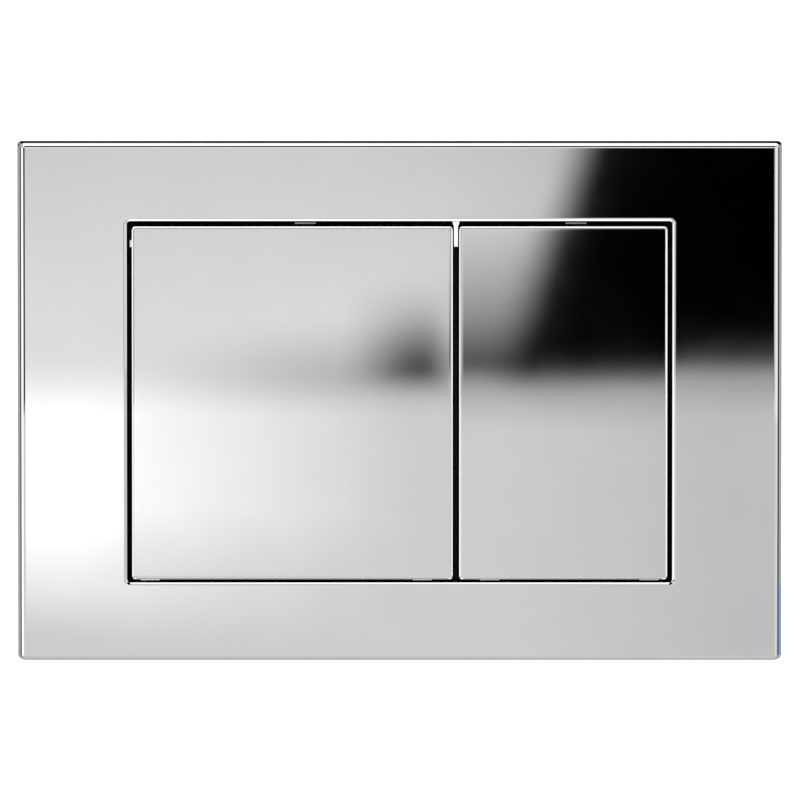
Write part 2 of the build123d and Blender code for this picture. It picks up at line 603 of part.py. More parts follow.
# The mounting frame: a flange on the wall, a sleeve into the wall's opening and a pocket for each fixing screw
with BuildPart() as mounting_frame:
    with BuildSketch(wall_plane(0)):
        RectangleRounded(FLANGE_W, FLANGE_H, FLANGE_CORNER_R)
        Rectangle(FRAME_OPEN_W, SLEEVE_IN_H, mode=Mode.SUBTRACT)
    extrude(amount=FLANGE_T)
    with BuildSketch(wall_plane(SLEEVE_DEPTH)):
        RectangleRounded(SLEEVE_W, SLEEVE_H, FLANGE_CORNER_R)
        Rectangle(SLEEVE_IN_W, SLEEVE_IN_H, mode=Mode.SUBTRACT)
    extrude(amount=SLEEVE_DEPTH)
    # Lips along the opening's sides, as deep as the pockets
    with BuildSketch(wall_plane(POCKET_DEPTH + POCKET_FLOOR)):
        with Locations((-FRAME_OPEN_W / 2 - LIP_WALL / 2, 0), (FRAME_OPEN_W / 2 + LIP_WALL / 2, 0)):
            Rectangle(LIP_WALL, SLEEVE_H - SLEEVE_WALL)
        with Locations((-FIX_X, 0), (FIX_X, 0)):
            Rectangle(POCKET_W + SLEEVE_WALL, POCKET_L + 2 * POCKET_END_WALL)
    extrude(amount=POCKET_DEPTH + POCKET_FLOOR)
    with BuildSketch(wall_plane(POCKET_DEPTH)):
        with Locations((-FIX_X, 0), (FIX_X, 0)):
            Rectangle(POCKET_W, POCKET_L)
    extrude(amount=POCKET_DEPTH + FLANGE_T, mode=Mode.SUBTRACT)
    with BuildSketch(wall_plane(POCKET_DEPTH + POCKET_FLOOR)):
        with Locations((-FIX_X, 0), (FIX_X, 0)):
            SlotOverall(SLOT_L, FIX_D + 2 * SLOT_CLEAR, rotation=90)
    extrude(amount=POCKET_FLOOR, mode=Mode.SUBTRACT)
    # Windows in the sleeve for the face plate's clips
    window_front_y = FRAME_CATCH_Y - WINDOW_GAP
    window_back_y = FRAME_CATCH_Y + CLIP_BARB_L
    with BuildSketch(Plane.XY.offset(-SLEEVE_H / 2)):
        with Locations(*[(x, (window_front_y + window_back_y) / 2) for x in (-FRAME_CLIP_X, FRAME_CLIP_X)]):
            Rectangle(CLIP_W + 2 * WINDOW_GAP, window_back_y - window_front_y)
    extrude(amount=SLEEVE_H, mode=Mode.SUBTRACT)
mounting_frame.part.label = "mounting_frame"
export_step(mounting_frame.part, "parts/mounting_frame.step")


# Fixing screws: a head in the frame's pocket, a relieved neck and a long threaded shank
for name, screw_x in (("left_fixing_screw", -FIX_X), ("right_fixing_screw", FIX_X)):
    with BuildPart() as fixing_screw:
        with BuildSketch(wall_plane(POCKET_DEPTH)):
            with Locations((screw_x, 0)):
                Circle(FIX_HEAD_D / 2)
        extrude(amount=FIX_HEAD_H)
        with BuildSketch(wall_plane(POCKET_DEPTH)):
            with Locations((screw_x, 0)):
                Circle(FIX_NECK_D / 2)
        extrude(amount=-FIX_NECK_L)
        with BuildSketch(wall_plane(POCKET_DEPTH + FIX_NECK_L)):
            with Locations((screw_x, 0)):
                Circle(FIX_D / 2)
        extrude(amount=-FIX_L)
        chamfer(fixing_screw.faces().sort_by(Axis.Y)[-1].edges(), FIX_TIP_CHAMFER)
    fixing_screw.part.label = name
    export_step(fixing_screw.part, f"parts/{name}.step")
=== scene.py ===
# %% [markdown]
# # A chrome flush plate with two buttons
#
# The object is the plate that covers the service opening of a concealed cistern: a chrome bezel, a large and a
# small button, and behind them a black tray, a wall frame, push rods, springs and screws. The exact solids come
# from model.glb, in metres, with X to the right, Y into the wall and Z up. Each cell below dresses one piece or
# one finish, and each text cell says what it is, how it could be made and why it is made this way.

# %% Load the solids
import math

import bmesh
import bpy
from mathutils import Matrix, Vector


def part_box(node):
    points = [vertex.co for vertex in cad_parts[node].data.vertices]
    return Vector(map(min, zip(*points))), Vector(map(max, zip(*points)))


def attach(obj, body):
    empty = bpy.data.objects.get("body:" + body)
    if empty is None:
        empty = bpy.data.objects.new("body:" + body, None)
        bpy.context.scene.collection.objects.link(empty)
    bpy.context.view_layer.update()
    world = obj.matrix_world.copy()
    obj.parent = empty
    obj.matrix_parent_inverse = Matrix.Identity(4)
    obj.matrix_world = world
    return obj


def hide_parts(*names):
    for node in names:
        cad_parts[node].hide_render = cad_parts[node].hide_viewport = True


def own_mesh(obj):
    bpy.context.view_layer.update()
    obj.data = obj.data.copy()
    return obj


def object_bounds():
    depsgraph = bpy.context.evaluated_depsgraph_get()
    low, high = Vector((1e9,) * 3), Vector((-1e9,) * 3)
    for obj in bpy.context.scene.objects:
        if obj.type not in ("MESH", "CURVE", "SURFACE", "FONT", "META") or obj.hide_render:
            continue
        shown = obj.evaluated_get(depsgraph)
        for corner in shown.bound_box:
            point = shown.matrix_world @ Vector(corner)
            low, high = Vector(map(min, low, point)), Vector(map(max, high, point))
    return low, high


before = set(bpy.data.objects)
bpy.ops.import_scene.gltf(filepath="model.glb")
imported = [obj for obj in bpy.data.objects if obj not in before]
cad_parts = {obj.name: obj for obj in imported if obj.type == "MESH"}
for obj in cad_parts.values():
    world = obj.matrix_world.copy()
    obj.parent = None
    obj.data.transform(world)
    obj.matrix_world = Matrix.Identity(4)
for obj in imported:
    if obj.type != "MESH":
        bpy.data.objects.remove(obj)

CAD_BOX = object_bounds()
MM = 0.001
print("CAD box in mm:", [[round(c / MM, 1) for c in corner] for corner in CAD_BOX])

# %% [markdown]
# ## Helpers for meshes
#
# A maker thinks in millimetres, so every piece is modelled in millimetres and brought to metres when it is
# finished. A finished piece gets smooth shading with sharp creases kept, and normals weighted by face size, so
# that a large flat face stays a perfect mirror right up to its rounded edge.

# %% Start and finish a piece
CREASE_ANGLE = math.radians(32.0)
TOUCHING = 1e-4  # millimetres, as is the next
WELD = 1e-3


def node_box(node):
    """The lowest and highest corner of a CAD node, in millimetres."""
    low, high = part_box(node)
    return Vector(low) / MM, Vector(high) / MM


def new_object(bm, name, material):
    """Turn a bmesh in metres into an object of one material."""
    mesh = bpy.data.meshes.new(name)
    bm.to_mesh(mesh)
    bm.free()
    mesh.materials.append(material)
    made = bpy.data.objects.new(name, mesh)
    bpy.context.scene.collection.objects.link(made)
    return made


def finish_piece(bm, name, material, body, node):
    """Turn a bmesh in millimetres into a piece that rides on a body and stands for a CAD node."""
    bmesh.ops.scale(bm, vec=(MM, MM, MM), verts=bm.verts)
    piece = new_object(bm, name, material)
    piece.data.shade_smooth()
    piece.data.set_sharp_from_angle(angle=CREASE_ANGLE)
    piece.modifiers.new("flat faces first", "WEIGHTED_NORMAL").keep_sharp = True
    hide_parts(node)
    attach(piece, body)
    print(f"{name}: {len(piece.data.polygons)} faces on {body}")
    return piece


# %% [markdown]
# ## Helpers for shapes
#
# Moulded parts are mostly boxes, prisms and turned shapes. A box is a cube that is scaled into place. A prism is a
# flat outline, filled with its holes left open, and then extruded. A turned shape is a half outline that is spun
# once round its axis. Three small functions cover nearly every form on this object.


# %% Box, prism and turned shape
def only_verts(geom):
    """The vertices among what an operator gives back."""
    return [g for g in geom if isinstance(g, bmesh.types.BMVert)]


def add_box(bm, low, high):
    """A cube scaled and moved to fill the space between two corners."""
    low, high = Vector(low), Vector(high)
    verts = bmesh.ops.create_cube(bm, size=1.0)["verts"]
    bmesh.ops.scale(bm, vec=high - low, verts=verts)
    bmesh.ops.translate(bm, vec=(low + high) / 2, verts=verts)
    return verts


def add_loop(bm, points):
    """A closed ring of edges through a few points."""
    verts = [bm.verts.new(point) for point in points]
    return [bm.edges.new((a, b)) for a, b in zip(verts, verts[1:] + verts[:1])]


def add_prism(bm, outline, along, holes=()):
    """Fill an outline, leave its holes open, and extrude it along a vector."""
    edges = add_loop(bm, outline)
    for hole in holes:
        edges += add_loop(bm, hole)
    faces = [g for g in bmesh.ops.triangle_fill(bm, edges=edges, use_beauty=True)["geom"]
             if isinstance(g, bmesh.types.BMFace)]
    extruded = bmesh.ops.extrude_face_region(bm, geom=faces, use_keep_orig=True)["geom"]
    bmesh.ops.translate(bm, vec=along, verts=only_verts(extruded))
    return faces


def side_outline(x, foot, points, way=1):
    """(depth, height) points as corners at x, with heights from a foot up, or down where way is -1."""
    return [Vector((x, y, way * (foot + height))) for y, height in points]


def arc_points(centre, radius, start, end, steps):
    """Points on an arc in the (Y, Z) plane, with angles in degrees from +Y towards +Z."""
    for step in range(steps + 1):
        angle = math.radians(start + (end - start) * step / steps)
        yield Vector((centre.x, centre.y + radius * math.cos(angle), centre.z + radius * math.sin(angle)))


def add_turned(bm, centre, axis, profile, segments):
    """Spin a half outline of (place along the axis, radius) points once round a line through centre."""
    axis = Vector(axis)
    foot = centre - axis * centre.dot(axis)
    verts = [bm.verts.new(foot + axis * along + Vector((0, 0, radius))) for along, radius in profile]
    edges = [bm.edges.new(pair) for pair in zip(verts, verts[1:])]
    bmesh.ops.spin(bm, geom=verts + edges, cent=foot, axis=axis, angle=math.tau, steps=segments, use_merge=True)
    bmesh.ops.remove_doubles(bm, verts=bm.verts, dist=TOUCHING)


# %% [markdown]
# Real edges are never sharp: a mould, a file or a wheel rounds them, and the narrow bright line along an edge is
# what makes metal look like metal. A Bevel modifier could do it, but it would round every edge by the same width.
# The bevel operator takes just the edges it is given, so each kind of edge gets its own radius.

# %% Rounded and broken edges
EDGE_TURN = math.radians(40.0)
FACET_TURN = math.radians(20.0)
SAME_PLANE = math.radians(0.5)
ROOM = 2.2  # times the radius: how long an edge's neighbours are where it is rounded
FINE_STEPS, ROUND_STEPS, SOFT_STEPS = 2, 3, 4  # segments of a small, a middling and a large rounding


def round_edges(bm, edges, radius, segments, clamp=True):
    """Round the given edges with a circular bevel, or break them with one flat segment."""
    bmesh.ops.bevel(bm, geom=edges, offset=radius, offset_type="OFFSET", segments=segments, profile=0.5,
                    affect="EDGES", material=-1, clamp_overlap=clamp)


def break_front_edge(bm, edges, front_y, width, depth, radius):
    """Break front edges to a narrow facet that is wider than it is deep, and round its front corner."""
    round_edges(bm, edges, width, 1, clamp=False)
    for vert in bm.verts:
        if abs(vert.co.y - front_y - width) < TOUCHING:
            vert.co.y = front_y + depth
    bm.normal_update()
    corner = [e for e in bm.edges if all(abs(v.co.y - front_y) < TOUCHING for v in e.verts)
              and len(e.link_faces) == 2 and e.calc_face_angle() > FACET_TURN]
    round_edges(bm, corner, radius, SOFT_STEPS, clamp=False)


def sharp_edges(bm):
    """Every edge that turns sharply."""
    return [e for e in bm.edges if len(e.link_faces) == 2 and e.calc_face_angle() > EDGE_TURN]


def soften(bm, radius, segments):
    """Round every sharp edge, as a mould or a file leaves it."""
    round_edges(bm, sharp_edges(bm), radius, segments)


def soften_roomy(bm, radius, segments):
    """Round the sharp edges that have room for it, and leave those beside a very short edge as they are."""
    roomy = [e for e in sharp_edges(bm)
             if all(near.calc_length() > ROOM * radius for v in e.verts for near in v.link_edges)]
    round_edges(bm, roomy, radius, segments, clamp=False)


def join_flat(bm):
    """Join the faces that lie in one plane."""
    bmesh.ops.dissolve_limit(bm, angle_limit=SAME_PLANE, verts=bm.verts, edges=bm.edges)


def turn_outwards(bm):
    """Point every face of the closed shells outwards."""
    bmesh.ops.recalc_face_normals(bm, faces=bm.faces)


# %% [markdown]
# ## Helpers for finishes
#
# Colours are written as sRGB hex, as in a paint book, and one function makes them linear. One more function adds
# a node with its settings and links, so that a material reads as a list of what feeds what. Patterns use Object
# coordinates, which are metres here, so a noise of N millimetres has the scale 1000 / N. On every piece the colour
# and the roughness drift together between two values, so one last function closes a material that way.


# %% Colours, nodes and an empty material
def linear(hex_code):
    """An sRGB hex colour as linear RGBA."""
    channels = [int(hex_code[i:i + 2], 16) / 255 for i in (1, 3, 5)]
    return [c / 12.92 if c <= 0.04045 else ((c + 0.055) / 1.055) ** 2.4 for c in channels] + [1.0]


def per_mm(size_mm):
    """The texture scale that repeats about every size_mm on Object coordinates."""
    return 1.0 / (size_mm * MM)


def add(tree, kind, inputs=None, **settings):
    """Add a node with its settings, and set or link its inputs by name or number."""
    node = tree.nodes.new(kind)
    for key, value in settings.items():
        setattr(node, key, value)
    for key, value in (inputs or {}).items():
        if isinstance(value, bpy.types.NodeSocket):
            tree.links.new(value, node.inputs[key])
        else:
            node.inputs[key].default_value = value
    return node


def new_material(name):
    """A new material, its node tree and the Object coordinates in it."""
    material = bpy.data.materials.new(name)
    material.use_nodes = True
    tree = material.node_tree
    tree.nodes.clear()
    print("material", name)
    return material, tree, add(tree, "ShaderNodeTexCoord").outputs["Object"]


COLOUR_A, COLOUR_B, COLOUR_MIX = 6, 7, 2  # sockets of the Mix node when it mixes colours


def close_material(tree, pattern, colours, roughness, inputs):
    """Let colour and roughness follow one pattern between two values, and set the rest as given."""
    fac = pattern.outputs["Fac"]
    first, second = map(linear, colours)
    tint = add(tree, "ShaderNodeMix", {0: fac, COLOUR_A: first, COLOUR_B: second}, data_type="RGBA")
    sheen = add(tree, "ShaderNodeMapRange", {"Value": fac, "To Min": roughness[0], "To Max": roughness[1]})
    shader = add(tree, "ShaderNodeBsdfPrincipled", {
        "Base Color": tint.outputs[COLOUR_MIX], "Roughness": sheen.outputs["Result"], **inputs})
    add(tree, "ShaderNodeOutputMaterial", {"Surface": shader.outputs["BSDF"]})


# %% [markdown]
# ## Chrome on moulded plastic
#
# The bezel and the buttons are ABS mouldings with bright chrome plating. Chrome is a neutral, very bright
# mirror. Plating follows the moulding's faint waviness, which bends a reflection by a pixel or two, and wiping
# leaves a very slight haze. A long, shallow noise gives the waviness as bump and a finer one the haze as roughness.

# %% Chrome plating
CHROME = ("#E4E4E3", "#DEDEDC")  # bright and hazed
CHROME_ROUGHNESS = (0.02, 0.05)
WAVINESS = 26.0
WAVE_HEIGHT = 0.004
HAZE_SIZE = 14.0

chrome, tree, place = new_material("chrome_plated_abs")
waves = add(tree, "ShaderNodeTexNoise", {"Vector": place, "Scale": per_mm(WAVINESS), "Detail": 1.0})
haze = add(tree, "ShaderNodeTexNoise", {"Vector": place, "Scale": per_mm(HAZE_SIZE), "Detail": 5.0})
relief = add(tree, "ShaderNodeBump", {"Height": waves.outputs["Fac"], "Distance": WAVE_HEIGHT * MM})
close_material(tree, haze, CHROME, CHROME_ROUGHNESS, {"Metallic": 1.0, "Normal": relief.outputs["Normal"]})

# %% [markdown]
# ## Black moulded plastic
#
# The tray and the wall frame are black ABS from a spark-eroded mould: a fine, even grain that scatters light, with
# faint flow marks where it is smoother. Real grain is about 0.1 mm, too fine to show, so it is drawn at 0.5 mm.

# %% Grained black ABS
BLACK_ABS = ("#17181A", "#222326")  # grained and smoother
ABS_ROUGHNESS = (0.42, 0.62)
ABS_IOR = 1.54
GRAIN_SIZE = 0.5
GRAIN_HEIGHT = 0.06
GRAIN_STRENGTH = 0.35
FLOW_SIZE = 30.0

black_abs, tree, place = new_material("grained_black_abs")
grain = add(tree, "ShaderNodeTexNoise", {"Vector": place, "Scale": per_mm(GRAIN_SIZE), "Detail": 2.0})
flow = add(tree, "ShaderNodeTexNoise", {"Vector": place, "Scale": per_mm(FLOW_SIZE), "Detail": 3.0})
relief = add(tree, "ShaderNodeBump", {
    "Height": grain.outputs["Fac"], "Strength": GRAIN_STRENGTH, "Distance": GRAIN_HEIGHT * MM})
close_material(tree, flow, BLACK_ABS, ABS_ROUGHNESS, {"IOR": ABS_IOR, "Normal": relief.outputs["Normal"]})

# %% [markdown]
# ## Natural acetal
#
# Plungers and push rods are turned or moulded from natural acetal, a waxy white plastic that lets a little light in.
# Its sheen is soft and its white slightly cloudy, so one noise drifts both.

# %% White acetal
ACETAL = ("#E9E8E1", "#DEDCD2")
ACETAL_ROUGHNESS = (0.30, 0.44)
ACETAL_IOR = 1.48
ACETAL_DEPTH = 0.8  # how far light gets in
ACETAL_SHARE = 0.15
CLOUD_SIZE = 9.0

acetal, tree, place = new_material("natural_acetal")
cloud = add(tree, "ShaderNodeTexNoise", {"Vector": place, "Scale": per_mm(CLOUD_SIZE), "Detail": 4.0})
close_material(tree, cloud, ACETAL, ACETAL_ROUGHNESS, {
    "IOR": ACETAL_IOR, "Subsurface Weight": ACETAL_SHARE, "Subsurface Scale": ACETAL_DEPTH * MM})

# %% [markdown]
# ## Three metals and a rubber
#
# The hinge rods are drawn stainless steel, with fine lines along their length. The springs are rolled stainless strip,
# a little darker, with lines along the strip. Screws and nuts are zinc plated, which has a bluish sheen that drifts to
# straw. Metals that were drawn or rolled share one recipe: a noise that is squeezed across the lines and pulled along
# them. The buffers are soft black rubber with a dusty bloom.


# %% Drawn, rolled and plated metals
LINE_HEIGHT = 0.02
LINE_STRENGTH = 0.2
ALONG_X = (0.04, 1.0, 1.0)
ALONG_Z = (1.0, 1.0, 0.04)
EVERY_WAY = (1.0, 1.0, 1.0)


def lined_metal(name, colours, line_mm, stretch, roughness):
    """A metal whose noise is stretched along the way it was drawn or rolled."""
    material, tree, place = new_material(name)
    pulled = add(tree, "ShaderNodeMapping", {"Vector": place, "Scale": stretch})
    lines = add(tree, "ShaderNodeTexNoise",
                {"Vector": pulled.outputs["Vector"], "Scale": per_mm(line_mm), "Detail": 4.0})
    relief = add(tree, "ShaderNodeBump", {
        "Height": lines.outputs["Fac"], "Strength": LINE_STRENGTH, "Distance": LINE_HEIGHT * MM})
    close_material(tree, lines, colours, roughness, {"Metallic": 1.0, "Normal": relief.outputs["Normal"]})
    return material


# Name, two colours, size of the lines or clouds in millimetres, their way, and the range of roughness
stainless = lined_metal("drawn_stainless_rod", ("#C4C3BF", "#A9A8A4"), 0.3, ALONG_X, (0.18, 0.34))
spring_strip = lined_metal("rolled_spring_strip", ("#A9A8A5", "#86857F"), 0.4, ALONG_Z, (0.22, 0.40))
zinc = lined_metal("blue_white_zinc_plate", ("#B4BAC4", "#B9B39F"), 3.0, EVERY_WAY, (0.22, 0.38))

# %% Soft rubber
RUBBER = ("#1B1B1B", "#2B2A29")  # clean and with bloom
RUBBER_ROUGHNESS = (0.72, 0.92)
RUBBER_IOR = 1.52
BLOOM_SIZE = 2.5

rubber, tree, place = new_material("soft_black_rubber")
bloom = add(tree, "ShaderNodeTexNoise", {"Vector": place, "Scale": per_mm(BLOOM_SIZE), "Detail": 6.0})
close_material(tree, bloom, RUBBER, RUBBER_ROUGHNESS, {"IOR": RUBBER_IOR})

# %% [markdown]
# ## The bezel
#
# The bezel is a shallow box with sloping sides, open at the back, with a collar round its opening. It could be a
# copy of the CAD mesh, but a mirror shows every facet, so it is modelled again with clean faces and finer rounding: a
# cube is drawn in at the front, its back is cut and pushed in, the collar is extruded, and the opening is cut through.

# %% Bezel: box, hollow and collar
PLATE_LOW, PLATE_HIGH = node_box("face_plate")
FRONT_Y, HALF_W, HALF_H = PLATE_LOW.y, PLATE_HIGH.x, PLATE_HIGH.z
SIDE_SLOPE = 1.1
END_SLOPE = 0.3
RIM_WALL = 2.0
PLATE_WALL = 2.2
PLATE_EDGE_R = 1.3
PLATE_EDGE_STEPS = 12
OPENING_HALF_W = 78.5
OPENING_HALF_H = 52.3
OPENING_CORNER_R = 1.0
OPENING_CORNER_STEPS = 6
OPENING_FACET = 0.72
FACET_SLOPE = 0.6  # depth of a facet against its width
OPENING_FACET_ROUND = 0.2
COLLAR_WALL = 1.8
COLLAR_BACK_Y = 2.0
INNER_Y = FRONT_Y + PLATE_WALL


def flat_faces(bm, y):
    """The faces that lie flat at depth y."""
    return [f for f in bm.faces if all(abs(v.co.y - y) < TOUCHING for v in f.verts)]


def push_faces(bm, faces, distance):
    """Extrude faces along Y, and drop the faces that they leave behind."""
    extruded = bmesh.ops.extrude_face_region(bm, geom=faces)["geom"]
    bmesh.ops.translate(bm, vec=(0, distance, 0), verts=only_verts(extruded))
    bmesh.ops.delete(bm, geom=faces, context="FACES_ONLY")


def cut_rectangle(bm, y, half_w, half_h):
    """Cut the flat faces at depth y along a rectangle round the origin, and return those inside it."""
    for axis, place in ((0, -half_w), (0, half_w), (2, -half_h), (2, half_h)):
        faces = flat_faces(bm, y)
        edges = dict.fromkeys(e for f in faces for e in f.edges)  # each once, in a fixed order
        verts = dict.fromkeys(v for f in faces for v in f.verts)
        normal = Vector([float(axis == i) for i in range(3)])
        bmesh.ops.bisect_plane(bm, geom=[*faces, *edges, *verts], plane_co=normal * place, plane_no=normal)
    middles = [(f, f.calc_center_median()) for f in flat_faces(bm, y)]
    return [f for f, middle in middles if abs(middle.x) < half_w and abs(middle.z) < half_h]


bm = bmesh.new()
for vert in add_box(bm, (-HALF_W, FRONT_Y, -HALF_H), (HALF_W, 0, HALF_H)):
    if vert.co.y < FRONT_Y / 2:
        vert.co.x -= math.copysign(SIDE_SLOPE, vert.co.x)
        vert.co.z -= math.copysign(END_SLOPE, vert.co.z)
outer_edges = [e for e in bm.edges if e.verts[0].co.y + e.verts[1].co.y < 0]
round_edges(bm, outer_edges, PLATE_EDGE_R, PLATE_EDGE_STEPS)
hollow = cut_rectangle(bm, 0, HALF_W - SIDE_SLOPE - RIM_WALL, HALF_H - END_SLOPE - RIM_WALL)
push_faces(bm, hollow, INNER_Y)
collar = cut_rectangle(bm, INNER_Y, OPENING_HALF_W + COLLAR_WALL, OPENING_HALF_H + COLLAR_WALL)
push_faces(bm, collar, COLLAR_BACK_Y - INNER_Y)
print("bezel box and collar:", len(bm.faces), "faces")

# %% Bezel: opening
holes = cut_rectangle(bm, FRONT_Y, OPENING_HALF_W, OPENING_HALF_H)
holes += cut_rectangle(bm, COLLAR_BACK_Y, OPENING_HALF_W, OPENING_HALF_H)
bmesh.ops.delete(bm, geom=holes, context="FACES_ONLY")
bmesh.ops.bridge_loops(bm, edges=[e for e in bm.edges if e.is_boundary])
turn_outwards(bm)
corners = [e for e in bm.edges if abs(e.verts[0].co.y - e.verts[1].co.y) > COLLAR_WALL and all(
    abs(abs(v.co.x) - OPENING_HALF_W) + abs(abs(v.co.z) - OPENING_HALF_H) < TOUCHING for v in e.verts)]
round_edges(bm, corners, OPENING_CORNER_R, OPENING_CORNER_STEPS)
lip = [e for e in bm.edges if len(e.link_faces) == 2 and all(abs(v.co.y - FRONT_Y) < TOUCHING for v in e.verts)
       and e.calc_face_angle() > EDGE_TURN]
break_front_edge(bm, lip, FRONT_Y, OPENING_FACET, OPENING_FACET * FACET_SLOPE, OPENING_FACET_ROUND)
print("bezel with its opening:", len(bm.faces), "faces,", sum(not e.is_manifold for e in bm.edges), "open edges")

# %% [markdown]
# ## Tab, ribs and clips of the bezel
#
# A short tab hangs from the collar between the buttons, set back from the front and flared at its root. Small ribs
# stiffen the collar's long sides, and barbed clips hold the bezel on the wall frame and the tray on the bezel. They
# are prisms, drawn from a few corner points each, that run into the walls they grow from.

# %% Bezel: tab
TAB_X = 16.2
TAB_T = 1.1
TAB_L = 7.5
TAB_ROOT_SETBACK = 2.6
TAB_END_SETBACK = 1.4
TAB_FLARE_W = 0.5
TAB_FLARE_L = 2.2
TAB_ROOT = 0.4  # how far it runs into the collar
TAB_STEPS = 6

tab_end = OPENING_HALF_H - TAB_L
tab_half = [(TAB_T / 2, tab_end)]
for step in range(TAB_STEPS + 1):
    part = step / TAB_STEPS
    tab_half.append((TAB_T / 2 + TAB_FLARE_W * (1 - math.cos(math.pi * part)) / 2,
                     OPENING_HALF_H - TAB_FLARE_L * (1 - part)))
tab_half.append((TAB_T / 2 + TAB_FLARE_W, OPENING_HALF_H + TAB_ROOT))
outline = tab_half + [(-x, z) for x, z in reversed(tab_half)]
tab_front = FRONT_Y + TAB_END_SETBACK
tab_faces = add_prism(bm, [Vector((TAB_X + x, tab_front, z)) for x, z in outline], (0, COLLAR_BACK_Y - tab_front, 0))
for vert in {v for f in tab_faces for v in f.verts}:
    vert.co.y += (TAB_ROOT_SETBACK - TAB_END_SETBACK) * (vert.co.z - tab_end) / TAB_L
print("tab:", len(outline), "points round")

# %% Bezel: ribs along the collar
RIB_T = 1.2
RIB_REACH = 3.6
RIB_PITCH = 32.0
RIB_SETBACK = 0.6
RIB_COLUMNS = (-2, -1, 0, 1, 2)

for column in RIB_COLUMNS:
    for up in (-1, 1):
        add_prism(bm, side_outline(column * RIB_PITCH - RIB_T / 2, OPENING_HALF_H + COLLAR_WALL, (
            (INNER_Y - RIB_SETBACK, -RIB_SETBACK), (INNER_Y - RIB_SETBACK, RIB_REACH), (INNER_Y, RIB_REACH),
            (COLLAR_BACK_Y - RIB_SETBACK, 0), (COLLAR_BACK_Y - RIB_SETBACK, -RIB_SETBACK)), up), (RIB_T, 0, 0))
print("collar ribs:", 2 * len(RIB_COLUMNS))

# %% Bezel: clips
CLIP_W = 9.0
CLIP_T = 1.6
CLIP_BARB = 1.3
CLIP_BARB_L = 3.8
CLIP_ROOT = 0.8
FRAME_CLIP_X = 52.0
FRAME_CLIP_Z = 62.0
FRAME_CATCH_Y = 2.6
CARRIER_CLIP_X = 84.4
CARRIER_CLIP_Z = 36.0
CARRIER_CATCH_Y = 4.1


def clip_outline(catch_y, barb):
    """(depth, height) points of a clip whose back is at height 0 and whose barb stands out by barb."""
    away = math.copysign(CLIP_T, -barb)
    return ((INNER_Y - CLIP_ROOT, away), (INNER_Y - CLIP_ROOT, 0), (catch_y, 0), (catch_y, barb),
            (catch_y + CLIP_BARB_L, away / 2), (catch_y + CLIP_BARB_L, away))


for side in (-1, 1):
    for end in (-1, 1):
        start = side * FRAME_CLIP_X - CLIP_W / 2
        add_prism(bm, side_outline(start, FRAME_CLIP_Z, clip_outline(FRAME_CATCH_Y, CLIP_BARB), end), (CLIP_W, 0, 0))
        start = end * CARRIER_CLIP_Z - CLIP_W / 2
        add_prism(bm, [Vector((side * (CARRIER_CLIP_X + h), y, start))
                       for y, h in clip_outline(CARRIER_CATCH_Y, -CLIP_BARB)], (0, 0, CLIP_W))
turn_outwards(bm)
finish_piece(bm, "chrome_bezel", chrome, "fixed_set", "face_plate")

# %% [markdown]
# ## The buttons
#
# Each button is a hollow shell: a cube whose back is inset and pushed in, with rounded corners and front edges that
# are broken to a narrow facet. Plated mouldings are never quite flat, so the shell is cut into a grid and its front
# is leant and turned by a hair and given a very shallow crown, all behind the CAD face. The reflection in a button
# then differs slightly from the one in the bezel, as on real plates. The first cuts lie close to the edge, so that
# the facet bends with the front.

# %% Button shell with a crowned front
BUTTON_TOP = 50.7
BUTTON_BOTTOM = -51.4
SKIRT_BACK_Y = 5.0
SKIRT_WALL = 2.0
BUTTON_WALL = 2.2
BUTTON_CORNER_R = 1.0
BUTTON_CORNER_STEPS = 8
BUTTON_FACET = 0.5
BUTTON_FACET_ROUND = 0.15
EDGE_CELL = 0.4
CROWN_CELL = 3.0
BUTTON_INNER_Y = FRONT_Y + BUTTON_WALL


def crown_cuts(low, high):
    """Places of the cuts across a front: evenly spaced, with one close to each edge."""
    margin = BUTTON_CORNER_R + EDGE_CELL
    start, end = low + margin, high - margin
    cells = round((end - start) / CROWN_CELL)
    return [start + (end - start) * cell / cells for cell in range(cells + 1)]


def button_shell(left, right, lean, turn, crown_across, crown_up):
    """A hollow button with faceted front edges and a front that is slightly off true."""
    bm = bmesh.new()
    add_box(bm, (left, FRONT_Y, BUTTON_BOTTOM), (right, SKIRT_BACK_Y, BUTTON_TOP))
    back = flat_faces(bm, SKIRT_BACK_Y)
    bmesh.ops.inset_region(bm, faces=back, thickness=SKIRT_WALL, use_even_offset=True)
    push_faces(bm, back, BUTTON_INNER_Y - SKIRT_BACK_Y)
    at_front = {v for v in bm.verts if v.co.y < FRONT_Y + TOUCHING}
    corners = [e for e in bm.edges if len(at_front & set(e.verts)) == 1]
    round_edges(bm, corners, BUTTON_CORNER_R, BUTTON_CORNER_STEPS)
    front_edges = [e for e in bm.edges if all(v.co.y < FRONT_Y + TOUCHING for v in e.verts)]
    facet_depth = BUTTON_FACET * FACET_SLOPE
    break_front_edge(bm, front_edges, FRONT_Y, BUTTON_FACET, facet_depth, BUTTON_FACET_ROUND)
    low, high = Vector((left, 0, BUTTON_BOTTOM)), Vector((right, 0, BUTTON_TOP))
    for normal in (Vector((1, 0, 0)), Vector((0, 0, 1))):
        for place in crown_cuts(low.dot(normal), high.dot(normal)):
            bmesh.ops.bisect_plane(bm, geom=[*bm.verts, *bm.edges, *bm.faces], plane_co=normal * place,
                                   plane_no=normal)
    bmesh.ops.remove_doubles(bm, verts=bm.verts, dist=WELD)
    middle, half = (low + high) / 2, (high - low) / 2
    front = [v for v in bm.verts if v.co.y < FRONT_Y + facet_depth + TOUCHING]
    places = [((v.co.x - middle.x) / half.x, (v.co.z - middle.z) / half.z) for v in front]
    drops = [turn * across + lean * up + crown_across * across ** 2 + crown_up * up ** 2 for across, up in places]
    for vert, drop in zip(front, drops):
        vert.co.y += drop - min(drops)
    return bm


